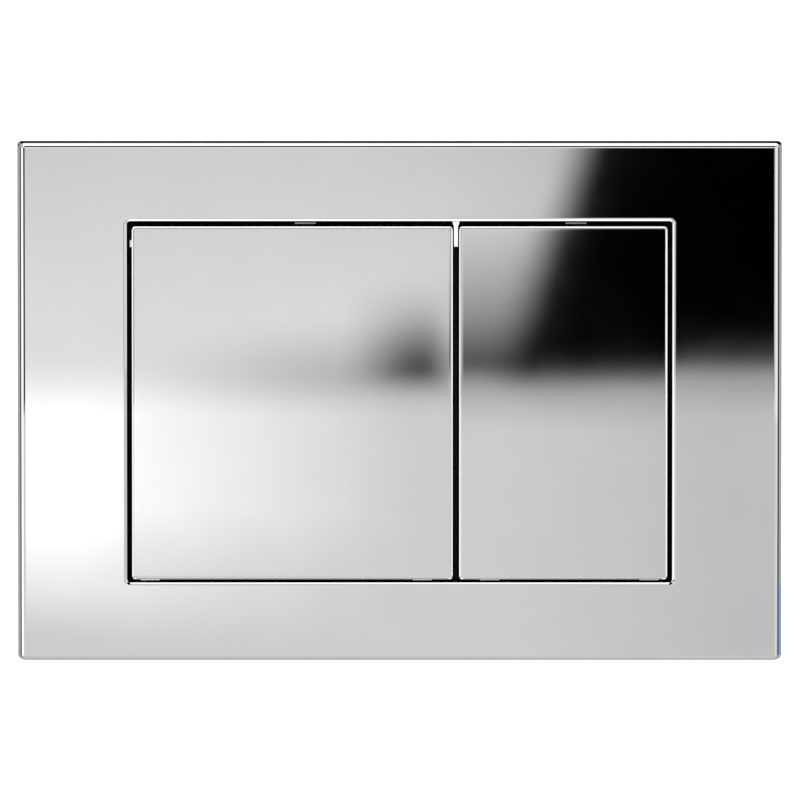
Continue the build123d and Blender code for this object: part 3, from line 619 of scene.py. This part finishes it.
# %% [markdown]
# ## Behind the buttons
#
# On the inside a button has crossed ribs, a round-nosed pad that presses the plunger, two hinge ears bored for the
# rod, small nibs that keep it clear of the collar and a hook that stops it at rest. They are boxes and prisms again:
# the nose and the ears have arcs in their outlines, and the lower nibs a slope that leads them in.

# %% Ribs, pad, ears, nibs and hook
PLUNGER_Z = 11.0
PAD_W = 10.0
PAD_NOSE_R = 3.5
PAD_STEPS = 16
PAD_BACK_Y = 8.0
BUTTON_RIB_T = 1.4
BUTTON_RIB_H = 3.4
PIVOT = Vector((0, 7.0, -48.8))
EAR_W = 5.5
EAR_R = 3.4
EAR_STEPS = 20
EAR_BORE_R = 1.52
EAR_BORE_SIDES = 24
HOOK_W = 6.0
HOOK_OFFSET = 3.7
HOOK_REACH = 2.5
HOOK_ROOT_Y = 3.72
HOOK_TIP_Y = 4.62
HOOK_BACK_Y = 6.7
HOOK_TIP = 0.8
NIB_H = 0.6
NIB_FLAT_H = 0.28
NIB_LEAD_IN = 0.5
NIB_SETBACK = 1.2
SIDE_NIB_L = 2.0
SIDE_NIB_Z = 45.7
ROOT = 0.5  # how far these run into the shell's walls


def add_inside(bm, left, right, pad_x, ears, outer_x):
    """Ribs, pad, hinge ears, nibs and stop hook of a button."""
    rib_front, rib_back = BUTTON_INNER_Y - ROOT, BUTTON_INNER_Y + BUTTON_RIB_H
    inner_left, inner_right = left + SKIRT_WALL - ROOT, right - SKIRT_WALL + ROOT
    add_box(bm, (inner_left, rib_front, PLUNGER_Z - BUTTON_RIB_T / 2),
            (inner_right, rib_back, PLUNGER_Z + BUTTON_RIB_T / 2))
    add_box(bm, (pad_x - BUTTON_RIB_T / 2, rib_front, BUTTON_BOTTOM + SKIRT_WALL - ROOT),
            (pad_x + BUTTON_RIB_T / 2, rib_back, BUTTON_TOP - SKIRT_WALL + ROOT))
    nose = Vector((pad_x - PAD_W / 2, PAD_BACK_Y - PAD_NOSE_R, PLUNGER_Z))
    outline = [Vector((nose.x, rib_front, PLUNGER_Z - PAD_NOSE_R)), *arc_points(nose, PAD_NOSE_R, -90, 90, PAD_STEPS),
               Vector((nose.x, rib_front, PLUNGER_Z + PAD_NOSE_R))]
    add_prism(bm, outline, (PAD_W, 0, 0))
    for ear_x in ears:
        pivot = Vector((ear_x, PIVOT.y, PIVOT.z))
        low = BUTTON_BOTTOM + SKIRT_WALL / 2
        low_turn = math.degrees(math.asin((low - PIVOT.z) / EAR_R))
        outline = [Vector((ear_x, rib_front, low)), *arc_points(pivot, EAR_R, -180 - low_turn, 90, EAR_STEPS),
                   Vector((ear_x, rib_front, PIVOT.z + EAR_R))]
        last = 360 - 360 / EAR_BORE_SIDES
        add_prism(bm, outline, (EAR_W, 0, 0), [list(arc_points(pivot, EAR_BORE_R, 0, last, EAR_BORE_SIDES - 1))])
        nib_front, nib_back = FRONT_Y + NIB_SETBACK, SKIRT_BACK_Y - ROOT
        add_prism(bm, side_outline(ear_x, BUTTON_BOTTOM, (
            (nib_front, ROOT), (nib_front, -NIB_FLAT_H), (nib_front + NIB_LEAD_IN, -NIB_H), (nib_back, -NIB_H),
            (nib_back, ROOT))), (EAR_W, 0, 0))
    add_box(bm, (outer_x - NIB_H, FRONT_Y + NIB_SETBACK, SIDE_NIB_Z - SIDE_NIB_L / 2),
            (outer_x + NIB_H, SKIRT_BACK_Y - ROOT, SIDE_NIB_Z + SIDE_NIB_L / 2))
    hook_foot = SKIRT_BACK_Y - SKIRT_WALL
    add_prism(bm, side_outline((left + right) / 2 + HOOK_OFFSET - HOOK_W / 2, BUTTON_TOP, (
        (hook_foot, -SKIRT_WALL), (HOOK_BACK_Y, -SKIRT_WALL), (HOOK_BACK_Y, 0), (HOOK_TIP_Y + HOOK_TIP, HOOK_REACH),
        (HOOK_TIP_Y, HOOK_REACH), (HOOK_ROOT_Y, 0), (hook_foot, -ROOT))), (HOOK_W, 0, 0))


# %% Both buttons
# In millimetres across: left and right edge, the pad's middle, where each ear starts, and the outer edge
BUTTONS = {
    "large": (-77.0, 15.25, -30.0, (-74.6, 3.75), -77.0),
    "small": (17.15, 77.0, 30.0, (23.15, 69.1), 77.0),
}
# How far the top edge, the right edge, both side edges and both ends fall behind the middle
OFF_TRUE = {"large": (0.0, 0.0, -0.065, 0.13), "small": (0.11, 0.064, 0.0, -0.02)}

for size, (left, right, pad_x, ears, outer_x) in BUTTONS.items():
    bm = button_shell(left, right, *OFF_TRUE[size])
    add_inside(bm, left, right, pad_x, ears, outer_x)
    turn_outwards(bm)
    finish_piece(bm, f"chrome_{size}_button", chrome, f"{size}_button", f"{size}_button")

# %% [markdown]
# ## Tray and wall frame
#
# The black tray and the frame have many ribs, lugs and pockets, and the solids already hold all of them. A copy of
# each mesh is merged, its flat faces are joined, and the edges that have room for it get the small radius that a mould
# gives, so that they catch light. Modelling them again would add nothing that shows.

# %% Moulded copies of the tray and the frame
MOULD_RADIUS = 0.25


def merged_copy(node):
    """A merged copy of a CAD mesh in millimetres, with its flat faces joined."""
    bm = bmesh.new()
    bm.from_mesh(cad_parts[node].data)
    bmesh.ops.scale(bm, vec=(1 / MM, 1 / MM, 1 / MM), verts=bm.verts)
    bmesh.ops.remove_doubles(bm, verts=bm.verts, dist=WELD)
    join_flat(bm)
    return bm


for node, name in (("button_carrier", "black_tray"), ("mounting_frame", "black_wall_frame")):
    bm = merged_copy(node)
    soften_roomy(bm, MOULD_RADIUS, FINE_STEPS)
    finish_piece(bm, name, black_abs, "fixed_set", node)

# %% [markdown]
# ## Hinge rods and plungers
#
# Both are turned parts, so each is a half outline that is spun once round its axis: a plain rod along X, and a
# plunger with a flat head, a stem and a bore along Y. A lathe hand breaks every edge with a file, so the sharp edges
# are softened.

# %% Hinge rods and plungers
TURNED_SIDES = 40
ROD_R = 1.5
ROD_BREAK = 0.25
HEAD_R = 7.0
HEAD_T = 3.0
STEM_R = 4.0
BORE_R = 3.05
BORE_DEPTH = 14.0
PLUNGER_BREAK = 0.35
ALONG_ROD = Vector((1, 0, 0))
INTO_WALL = Vector((0, 1, 0))

for size in BUTTONS:
    low, high = node_box(f"{size}_hinge_rod")
    bm = bmesh.new()
    add_turned(bm, (low + high) / 2, ALONG_ROD, ((low.x, 0), (low.x, ROD_R), (high.x, ROD_R), (high.x, 0)),
               TURNED_SIDES)
    soften(bm, ROD_BREAK, FINE_STEPS)
    turn_outwards(bm)
    finish_piece(bm, f"{size}_steel_hinge_rod", stainless, f"{size}_button", f"{size}_hinge_rod")
    low, high = node_box(f"{size}_plunger")
    bm = bmesh.new()
    add_turned(bm, (low + high) / 2, INTO_WALL, (
        (low.y, 0), (low.y, HEAD_R), (low.y + HEAD_T, HEAD_R), (low.y + HEAD_T, STEM_R), (high.y, STEM_R),
        (high.y, BORE_R), (high.y - BORE_DEPTH, BORE_R), (high.y - BORE_DEPTH, 0)), TURNED_SIDES)
    soften(bm, PLUNGER_BREAK, ROUND_STEPS)
    turn_outwards(bm)
    finish_piece(bm, f"{size}_acetal_plunger", acetal, f"{size}_push_rod", f"{size}_plunger")

# %% [markdown]
# ## Screw threads
#
# A thread could be a bump in the material, but a screw seen from the side needs real teeth. One tooth's outline is
# spun once round the axis while it moves on by one pitch. That turn is then copied along the axis, and where the
# turns meet they are welded. The two ends are filled, and they hide inside a shoulder of the turned core.

# %% Thread
CREST_START, CREST_END = 0.40, 0.55  # shares of the pitch


def add_thread(bm, centre, start, end, root, crest, pitch, sides):
    """Sweep a tooth once along a helix into the wall, copy the turn, weld the copies and close the ends."""
    tooth = ((0, root), (CREST_START, crest), (CREST_END, crest), (1, root))
    core = set(bm.verts)
    verts = [bm.verts.new((centre.x, start + part * pitch, centre.z + radius)) for part, radius in tooth]
    edges = [bm.edges.new(pair) for pair in zip(verts, verts[1:])]
    bmesh.ops.spin(bm, geom=verts + edges, cent=centre, axis=INTO_WALL, dvec=INTO_WALL * (pitch / sides),
                   angle=math.tau, steps=sides)
    turn = [v for v in bm.verts if v not in core]
    edges = dict.fromkeys(e for v in turn for e in v.link_edges)
    faces = dict.fromkeys(f for v in turn for f in v.link_faces)
    turn += [*edges, *faces]
    for step in range(1, int((end - start) / pitch)):
        copied = bmesh.ops.duplicate(bm, geom=turn)["geom"]
        bmesh.ops.translate(bm, vec=INTO_WALL * (pitch * step), verts=only_verts(copied))
    bmesh.ops.remove_doubles(bm, verts=bm.verts, dist=TOUCHING)
    bmesh.ops.edgeloop_fill(bm, edges=[e for e in bm.edges if e.is_boundary])


# %% [markdown]
# ## Push rods and lock nuts
#
# A push rod is an acetal screw of 6 mm: it turns in the plunger's bore to set its length, and a zinc-plated nut locks
# it. Its core is turned with a shoulder and a plain tip, and the thread is laid over it. The nut is a hexagon with a
# hole, extruded and softened.

# %% Push rods and nuts
PUSH_ROD_R = 3.0
PUSH_ROOT_R = 2.42
PUSH_PITCH = 1.0
SHOULDER = 1.4
TIP_R = 2.4
TIP_L = 12.0
TIP_BREAK = 0.45
NUT_CORNER_R = 5.7735
NUT_SIDES = 6
NUT_BREAK = 0.35
THREAD_SIDES = 24


def ring(centre, y, radius, count):
    """Points of a regular polygon round a line into the wall."""
    angles = [math.tau * step / count for step in range(count)]
    return [Vector((centre.x + radius * math.cos(a), y, centre.z + radius * math.sin(a))) for a in angles]


for size in BUTTONS:
    low, high = node_box(f"{size}_push_rod")
    nut_low, nut_high = node_box(f"{size}_lock_nut")
    centre = (low + high) / 2
    shoulder_end = high.y - TIP_L
    bm = bmesh.new()
    shoulder = shoulder_end - SHOULDER
    add_turned(bm, centre, INTO_WALL, (
        (low.y, 0), (low.y, PUSH_ROOT_R), (shoulder, PUSH_ROOT_R), (shoulder, PUSH_ROD_R), (shoulder_end, PUSH_ROD_R),
        (shoulder_end, TIP_R), (high.y, TIP_R), (high.y, 0)), TURNED_SIDES)
    soften(bm, TIP_BREAK, ROUND_STEPS)
    add_thread(bm, centre, nut_low.y + PUSH_PITCH, shoulder_end, PUSH_ROOT_R, PUSH_ROD_R, PUSH_PITCH, THREAD_SIDES)
    turn_outwards(bm)
    finish_piece(bm, f"{size}_acetal_push_rod", acetal, f"{size}_push_rod", f"{size}_push_rod")
    bm = bmesh.new()
    add_prism(bm, ring(centre, nut_low.y, NUT_CORNER_R, NUT_SIDES), INTO_WALL * (nut_high.y - nut_low.y),
              [ring(centre, nut_low.y, BORE_R, TURNED_SIDES)])
    join_flat(bm)
    soften(bm, NUT_BREAK, FINE_STEPS)
    turn_outwards(bm)
    finish_piece(bm, f"{size}_zinc_lock_nut", zinc, f"{size}_push_rod", f"{size}_lock_nut")

# %% [markdown]
# ## Fixing screws
#
# The long screws that pull the frame to the cistern have a slotted cheese head, a relieved neck and an M5 thread. The
# head is a turned disc with two D-shaped halves on it, and the space between them is the slot.

# %% Fixing screws
FIX_R = 2.5
FIX_ROOT_R = 2.06
FIX_PITCH = 0.8
FIX_NECK_R = 2.15
FIX_NECK_L = 3.0
FIX_HEAD_R = 4.2
FIX_HEAD_H = 3.4
FIX_SHOULDER = 0.9
FIX_POINT = 0.8
SLOT_HALF = 0.6
SLOT_DEPTH = 1.6
HEAD_LAP = 0.2
HEAD_BREAK = 0.4

for side in ("left", "right"):
    low, high = node_box(f"{side}_fixing_screw")
    centre = (low + high) / 2
    head_back = low.y + FIX_HEAD_H
    slot_floor = low.y + SLOT_DEPTH
    neck_end = head_back + FIX_NECK_L
    thread_start, thread_end = neck_end + FIX_SHOULDER, high.y - FIX_POINT - FIX_SHOULDER
    bm = bmesh.new()
    half_turn = math.asin(SLOT_HALF / FIX_HEAD_R)
    for up in (-1, 1):
        angles = [half_turn + (math.pi - 2 * half_turn) * step / TURNED_SIDES for step in range(TURNED_SIDES + 1)]
        outline = [Vector((centre.x + FIX_HEAD_R * math.cos(a), low.y, centre.z + up * FIX_HEAD_R * math.sin(a)))
                   for a in angles]
        add_prism(bm, outline, INTO_WALL * (SLOT_DEPTH + HEAD_LAP))
    join_flat(bm)
    soften(bm, HEAD_BREAK, ROUND_STEPS)
    add_turned(bm, centre, INTO_WALL, (
        (slot_floor, 0), (slot_floor, FIX_HEAD_R), (head_back, FIX_HEAD_R), (head_back, FIX_NECK_R),
        (neck_end, FIX_NECK_R), (neck_end, FIX_R), (thread_start, FIX_R), (thread_start, FIX_ROOT_R),
        (thread_end, FIX_ROOT_R), (thread_end, FIX_R), (high.y - FIX_POINT, FIX_R), (high.y, FIX_R - FIX_POINT),
        (high.y, 0)), TURNED_SIDES)
    add_thread(bm, centre, neck_end + FIX_SHOULDER / 2, high.y - FIX_POINT, FIX_ROOT_R, FIX_R, FIX_PITCH,
               THREAD_SIDES)
    turn_outwards(bm)
    finish_piece(bm, f"{side}_zinc_fixing_screw", zinc, "fixed_set", f"{side}_fixing_screw")

# %% [markdown]
# ## Return springs and buffers
#
# A return spring is a forked strip of spring steel with its foot under two rails. Its solid already has the bends,
# so a merged copy gets finely rounded edges. The buffers are small blocks of rubber with well-rounded edges.

# %% Springs and buffers
STRIP_BREAK = 0.1
BUFFER_ROUND = 0.9

for size in BUTTONS:
    low, high = node_box(f"{size}_return_spring")
    bm = merged_copy(f"{size}_return_spring")
    soften(bm, STRIP_BREAK, FINE_STEPS)
    piece = finish_piece(bm, f"{size}_strip_spring", spring_strip, "fixed_set", f"{size}_return_spring")
    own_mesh(piece)
    for side in ("left", "right"):
        low, high = node_box(f"{size}_{side}_buffer")
        bm = bmesh.new()
        add_box(bm, low, high)
        soften(bm, BUFFER_ROUND, SOFT_STEPS)
        finish_piece(bm, f"{size}_{side}_rubber_buffer", rubber, "fixed_set", f"{size}_{side}_buffer")

# %% [markdown]
# ## Stage and camera
#
# The plate is photographed squarely from the front, from slightly above, with a long lens. What a mirror shows is the
# room in front of it, so the room's reflection is painted too: a pale wall that brightens downwards, a white table and
# a black cloth at the right, drawn as a glow on a card that stands in front, lights nothing and only reflections see.
# Its own coordinates are those of the place on the plate where each point of it is mirrored, so what it shows is laid
# out in metres on the plate.

# %% Camera
CAMERA_ELEVATION = math.radians(6.0)
CAMERA_DISTANCE = 6.0
VIEW_WIDTH = 0.2302  # metres of the plate's plane that fill the picture's width
AIM = Vector((0.0001, FRONT_Y * MM, 0.0006))
SENSOR = 36.0

toward_camera = Vector((0, -math.cos(CAMERA_ELEVATION), math.sin(CAMERA_ELEVATION)))
camera = bpy.data.objects.new("camera", bpy.data.cameras.new("camera"))
camera.data.sensor_width = SENSOR
camera.data.lens = SENSOR * CAMERA_DISTANCE / VIEW_WIDTH
camera.location = AIM + toward_camera * CAMERA_DISTANCE
camera.rotation_euler = (-toward_camera).to_track_quat("-Z", "Y").to_euler()
bpy.context.scene.collection.objects.link(camera)
bpy.context.scene.camera = camera
print("lens", round(camera.data.lens), "mm")


# %% Cards that only reflections see
def add_card(name, bm, material):
    """A stage card from a bmesh in metres, which only reflections see."""
    card = new_object(bm, name, material)
    for ray in ("camera", "diffuse", "shadow", "transmission", "volume_scatter"):
        setattr(card, f"visible_{ray}", False)
    return card


# %% [markdown]
# What the front card shows is a painted reflection: a handful of soft steps, worked out at each point of a fine grid
# and kept there as an attribute. They are the wall, the table with its painted pool of light, the darker band between
# them, the dark blur on it, and the black cloth with its fold. The material reads that attribute as the strength of a
# glow. Nodes could do it too, but a formula is easier to read.

# %% Painted reflection of what stands in front: wall, table and black cloth
# Each pair is where a soft step starts and ends, in metres on the plate's front, where the mirrored point shows.
HORIZON = (0.0130, -0.0066)
WALL_LIGHT = (0.606, 0.738)
WALL_HEIGHT = (0.0766, 0.0101)
WALL_FALL = (-0.028, 0.127)
WALL_FALL_SHARE = 0.30
TABLE_LIGHT = (0.608, 0.516)
TABLE_WIDTH = (0.0305, 0.0950)
POOL_LIGHT = 0.459
POOL_WIDTH = (0.0006, -0.0915)
POOL_HEIGHT = (-0.0712, -0.0360)
BAND_HEIGHT = ((0.0300, 0.0081), (-0.0060, 0.0094))
BAND_WIDTH = (-0.0841, -0.0070)
BAND_SHARE = 0.384
BLUR_HEIGHT = ((0.0450, 0.0060), (0.0007, 0.0118))
BLUR_WIDTH = ((-0.0202, 0.0031), (0.0142, 0.0038))
BLUR_SHARE = 0.97
FOLD_HEIGHT = ((0.0531, 0.0086), (0.0058, 0.0151))
FOLD_WIDTH = (0.0091, 0.0200)
CLOTH_LEAN = 0.278
CLOTH_LEFT = (0.0232, 0.0389)
CLOTH_FOOT = (0.0012, 0.0142)
CLOTH_FOOT_RISE = 0.0594


def ramp(value, start, end):
    """An even change from 0 at start to 1 at end, which may be the lower of the two."""
    return min(max((value - start) / (end - start), 0.0), 1.0)


def soft_step(value, start, end):
    """A soft change from 0 at start to 1 at end."""
    part = ramp(value, start, end)
    return part * part * (3 - 2 * part)


def between(start, end, part):
    """The value that is a part of the way from start to end."""
    return start + (end - start) * part


def light_in_front(across, up):
    """How bright the painted reflection of the room is at the plate's point (across, up)."""
    wall = between(*WALL_LIGHT, ramp(up, *WALL_HEIGHT))
    wall *= 1 - WALL_FALL_SHARE * soft_step(across, *WALL_FALL)
    table = between(*TABLE_LIGHT, ramp(across, *TABLE_WIDTH))
    table += POOL_LIGHT * ramp(across, *POOL_WIDTH) * ramp(up, *POOL_HEIGHT)
    light = between(wall, table, soft_step(up, *HORIZON))
    band = BAND_SHARE * soft_step(across, *BAND_WIDTH)
    for span in BAND_HEIGHT:
        band *= soft_step(up, *span)
    blur = BLUR_SHARE
    for value, span in zip((up, up, across, across), BLUR_HEIGHT + BLUR_WIDTH):
        blur *= soft_step(value, *span)
    fold = ramp(up, *FOLD_HEIGHT[0]) * soft_step(up, *FOLD_HEIGHT[1]) * soft_step(across, *FOLD_WIDTH)
    cloth = soft_step(across - CLOTH_LEAN * up, *CLOTH_LEFT)
    cloth *= soft_step(up - CLOTH_FOOT_RISE * across, *CLOTH_FOOT)
    return light * (1 - band) * (1 - blur) * (1 - fold) * (1 - cloth)


# %% The front card, at the place where the flat front mirrors it
CARD_DEPTH = 0.9
CARD_HALF_W = 0.17
CARD_HALF_H = 0.12
CARD_CELLS = 240
MIRROR = sum(linear(colour)[1] for colour in CHROME) / 2  # share of the light that chrome gives back

# The card's glow is a painted reflection of the room, with its pool of light, darker band and dark blur; it lights
# nothing.
painted_reflection_material, tree, _ = new_material("painted_room_reflection")
painted = add(tree, "ShaderNodeAttribute", attribute_name="glow")
glow = add(tree, "ShaderNodeEmission", {"Strength": painted.outputs["Fac"]})
add(tree, "ShaderNodeOutputMaterial", {"Surface": glow.outputs["Emission"]})

bm = bmesh.new()
bmesh.ops.create_grid(bm, x_segments=CARD_CELLS, y_segments=CARD_CELLS, size=1.0)
bmesh.ops.rotate(bm, verts=bm.verts, matrix=Matrix.Rotation(math.pi / 2, 3, "X"))
bmesh.ops.scale(bm, vec=(CARD_HALF_W, 1, CARD_HALF_H), verts=bm.verts)
painted = bm.verts.layers.float.new("glow")
for vert in bm.verts:
    vert[painted] = light_in_front(vert.co.x, vert.co.z) / MIRROR
lens_from_front = FRONT_Y * MM - camera.location.y
spread = (lens_from_front + CARD_DEPTH) / lens_from_front
front_card = add_card("front_card", bm, painted_reflection_material)
front_card.location = (camera.location.x * (1 - spread), FRONT_Y * MM - CARD_DEPTH, camera.location.z * (1 - spread))
front_card.scale = (spread, 1, spread)
print("front card", round(2 * CARD_HALF_W * spread, 3), "m wide,", CARD_DEPTH, "m in front")

# %% [markdown]
# A rounded chrome edge mirrors everything round the plate at once, and draws it as thin lines. So black flags, white
# soft boxes, cloths and table tops stand all round, each from one angle to another: 0 degrees is straight in front, 90
# is beside, above or below, and 180 behind. A card's finish is a faintly uneven glow. The boxes at the sides also fade
# upwards and downwards, so that the plate keeps a gradient when it is seen from the side.

# %% Finishes of the flags and soft boxes
CARD_WEAVE = 4.0
GLOW_LEVEL = -0.08  # where a card that fades is brightest
GLOW_REACH = (0.07, 0.30)  # how far above or below that level its fading starts and ends


def card_finish(name, low, high, far_share=1.0, colour="#FFFFFF"):
    """A glow that is slightly uneven, as cloth or a diffuser is, and that may fade upwards and downwards."""
    material, tree, place = new_material(name)
    weave = add(tree, "ShaderNodeTexNoise", {"Vector": place, "Scale": per_mm(CARD_WEAVE)})
    strength = add(tree, "ShaderNodeMapRange", {"Value": weave.outputs["Fac"], "To Min": low, "To Max": high})
    height = add(tree, "ShaderNodeSeparateXYZ", {"Vector": place}).outputs["Z"]
    away = add(tree, "ShaderNodeMath", {0: height, 1: GLOW_LEVEL}, operation="SUBTRACT")
    away = add(tree, "ShaderNodeMath", {0: away.outputs[0]}, operation="ABSOLUTE")
    fade = add(tree, "ShaderNodeMapRange", {"Value": away.outputs[0], "From Min": GLOW_REACH[0],
                                            "From Max": GLOW_REACH[1], "To Min": 1.0, "To Max": far_share})
    strength = add(tree, "ShaderNodeMath", {0: strength.outputs["Result"], 1: fade.outputs["Result"]},
                   operation="MULTIPLY")
    glow = add(tree, "ShaderNodeEmission", {"Color": linear(colour), "Strength": strength.outputs[0]})
    add(tree, "ShaderNodeOutputMaterial", {"Surface": glow.outputs["Emission"]})
    return material


velvet = card_finish("black_velvet", 0.0, 0.012)
diffuser = card_finish("white_diffuser", 1.42, 1.48)
side_diffuser = card_finish("side_diffuser", 1.32, 1.38, far_share=0.4)
pale_cloth = card_finish("pale_cloth", 0.90, 0.98)
sill_paint = card_finish("sill_paint", 0.70, 0.76)
grey_cloth = card_finish("grey_cloth", 0.40, 0.46)
blue_cloth = card_finish("blue_grey_cloth", 0.66, 0.74, colour="#A7C9FF")

# %% Flags and soft boxes
CARD_REACH = 0.8
HALF_CARD = 0.5
SIDE_TOP, SIDE_FOOT = 0.9, -0.6
SIDE_FLOOR = -0.078  # cards that end here show in the plate's upper or lower half only
FLAG_TOP, FLAG_FOOT = 0.12, -0.2  # dark flags are low, so that only the front view shows them
BLUE_TOP = -0.138  # where the blue cloth ends and the grey one above it starts
# Name, the two angles in degrees, which are below the plate where negative, and the finish
OVER_CARDS = (
    ("front_top_box", 5, 18.5, diffuser),
    ("top_flag", 19, 51, velvet),
    ("top_box", 51.5, 136, diffuser),
    ("back_flag", 138, 175, velvet),
    ("low_table", -21, -56.5, sill_paint),
    ("low_box", -57, -67.5, diffuser),
    ("low_grey", -67.7, -71.3, grey_cloth),
    ("low_cloth", -71.5, -150, pale_cloth),
)
# Name, the two angles, the lowest and the highest place, and the finish
LEFT_CARDS = (
    ("left_flag", 23, 53, SIDE_FLOOR, FLAG_TOP, velvet),
    ("left_box", 53.5, 100, SIDE_FOOT, SIDE_TOP, side_diffuser),
    ("left_rear_flag", 100.5, 146.5, FLAG_FOOT, FLAG_TOP, velvet),
    ("left_rear_cloth", 147, 172, SIDE_FOOT, SIDE_TOP, grey_cloth),
)
RIGHT_CARDS = (
    ("right_front_flag", 15, 25, SIDE_FLOOR, FLAG_TOP, velvet),
    ("right_cloth", 26, 60.8, SIDE_FLOOR, SIDE_TOP, pale_cloth),
    ("right_table", 15, 60.8, SIDE_FOOT, SIDE_FLOOR, sill_paint),
    ("right_box", 61, 69, SIDE_FOOT, SIDE_TOP, side_diffuser),
    ("right_back_cloth", 69.2, 95, SIDE_FLOOR, SIDE_TOP, pale_cloth),
    ("right_back_table", 69.2, 95, SIDE_FOOT, SIDE_FLOOR, sill_paint),
    ("right_flag", 96, 143, FLAG_FOOT, FLAG_TOP, velvet),
    ("right_rear_cloth", 143.5, 157, BLUE_TOP, FLAG_TOP, grey_cloth),
    ("right_low_cloth", 143.5, 157, FLAG_FOOT, BLUE_TOP, blue_cloth),
    ("right_back_end", 158, 172, SIDE_FOOT, SIDE_TOP, grey_cloth),
)


def around(start, end):
    """(depth, reach) of the two edges of a card that runs from one angle to another."""
    return [(-CARD_REACH * math.cos(math.radians(a)), CARD_REACH * math.sin(math.radians(a))) for a in (start, end)]


def add_flat(name, corners, material):
    """A flat card through four corners."""
    bm = bmesh.new()
    bm.faces.new([bm.verts.new(corner) for corner in corners])
    add_card(name, bm, material)


for name, start, end, material in OVER_CARDS:
    (y0, z0), (y1, z1) = around(start, end)
    add_flat(name, [(-HALF_CARD, y0, z0), (HALF_CARD, y0, z0), (HALF_CARD, y1, z1), (-HALF_CARD, y1, z1)], material)
for side, cards in ((-1, LEFT_CARDS), (1, RIGHT_CARDS)):
    for name, start, end, low, high, material in cards:
        (y0, x0), (y1, x1) = [(y, side * x) for y, x in around(start, end)]
        add_flat(name, [(x0, y0, low), (x1, y1, low), (x1, y1, high), (x0, y0, high)], material)
print("cards round the plate:", len(OVER_CARDS) + len(LEFT_CARDS) + len(RIGHT_CARDS))

# %% [markdown]
# The bottom edge mirrors what is right under the plate. A narrow sill there, pale in front and grey behind, draws the
# edge's last line, which no card further away could do so finely.

# %% Sill
SILL_Z = -0.0765
SILL_HALF_W = 0.12
SILL_FRONT, SILL_MIDDLE, SILL_BACK = -0.012, -0.0044, 0.008

for name, y0, y1, material in (("sill_front", SILL_FRONT, SILL_MIDDLE, sill_paint),
                               ("sill_back", SILL_MIDDLE, SILL_BACK, grey_cloth)):
    add_flat(name, [(-SILL_HALF_W, y0, SILL_Z), (SILL_HALF_W, y0, SILL_Z), (SILL_HALF_W, y1, SILL_Z),
                    (-SILL_HALF_W, y1, SILL_Z)], material)
print("sill", round((SILL_BACK - SILL_FRONT) / MM), "mm deep")

# %% [markdown]
# ## Floor, world and lamps
#
# The plate stands on a plain white floor. The world and the floor are full white where the camera or a reflection
# looks at them, and give a softer light to everything else, so that the object isn't washed out and its shadow stays.

# %% Floor
FLOOR_PAINT, FLOOR_PALE = linear("#F2F2F0"), linear("#F5F5F4")
FLOOR_HALF = 6.0
FLOOR_GAP = 0.0002
FLOOR_GLOW = 0.72
MOTTLE_SIZE = 333.0


def looked_at(tree):
    """1 where the camera looks, straight, in a mirror or through something clear, and 0 for all other light."""
    rays = add(tree, "ShaderNodeLightPath").outputs
    bent = add(tree, "ShaderNodeMath", {0: rays["Is Glossy Ray"], 1: rays["Is Transmission Ray"]}, operation="MAXIMUM")
    return add(tree, "ShaderNodeMath", {0: rays["Is Camera Ray"], 1: bent.outputs[0]}, operation="MAXIMUM").outputs[0]


floor_paint, tree, place = new_material("white_floor_paint")
mottle = add(tree, "ShaderNodeTexNoise", {"Vector": place, "Scale": per_mm(MOTTLE_SIZE)})
tint = add(tree, "ShaderNodeMix", {0: mottle.outputs["Fac"], COLOUR_A: FLOOR_PAINT, COLOUR_B: FLOOR_PALE},
           data_type="RGBA")
own_light = add(tree, "ShaderNodeMath", {0: looked_at(tree), 1: FLOOR_GLOW}, operation="MULTIPLY")
matt = add(tree, "ShaderNodeBsdfDiffuse", {"Color": tint.outputs[COLOUR_MIX]})
glow = add(tree, "ShaderNodeEmission", {"Strength": own_light.outputs[0]})
both = add(tree, "ShaderNodeAddShader", {0: matt.outputs["BSDF"], 1: glow.outputs["Emission"]})
add(tree, "ShaderNodeOutputMaterial", {"Surface": both.outputs["Shader"]})

bm = bmesh.new()
bmesh.ops.create_grid(bm, x_segments=1, y_segments=1, size=FLOOR_HALF)
bmesh.ops.translate(bm, vec=(0, 0, CAD_BOX[0].z - FLOOR_GAP), verts=bm.verts)
floor = new_object(bm, "floor", floor_paint)
floor.visible_glossy = False
print("floor", 2 * FLOOR_HALF, "m wide")

# %% World and lamps
WORLD_FILL = 0.55
LAMP_SIZE = 0.8
# Place in metres and watts
LAMPS = {"key_lamp": ((-0.7, -1.0, 1.3), 9.0), "back_lamp": ((0.8, 1.2, 1.0), 6.0)}

world = bpy.data.worlds.new("studio")
world.use_nodes = True
bpy.context.scene.world = world
tree = world.node_tree
tree.nodes.clear()
strength = add(tree, "ShaderNodeMapRange", {"Value": looked_at(tree), "To Min": WORLD_FILL, "To Max": 1.0})
sky = add(tree, "ShaderNodeBackground", {"Strength": strength.outputs["Result"]})
add(tree, "ShaderNodeOutputWorld", {"Surface": sky.outputs["Background"]})

for name, (place, watts) in LAMPS.items():
    lamp = bpy.data.objects.new(name, bpy.data.lights.new(name, "AREA"))
    lamp.data.energy, lamp.data.size = watts, LAMP_SIZE
    lamp.location = place
    lamp.rotation_euler = (-Vector(place)).to_track_quat("-Z", "Y").to_euler()
    bpy.context.scene.collection.objects.link(lamp)
print("world fill", WORLD_FILL, "and", len(LAMPS), "soft lamps")

bpy.context.scene.view_settings.view_transform = "Standard"
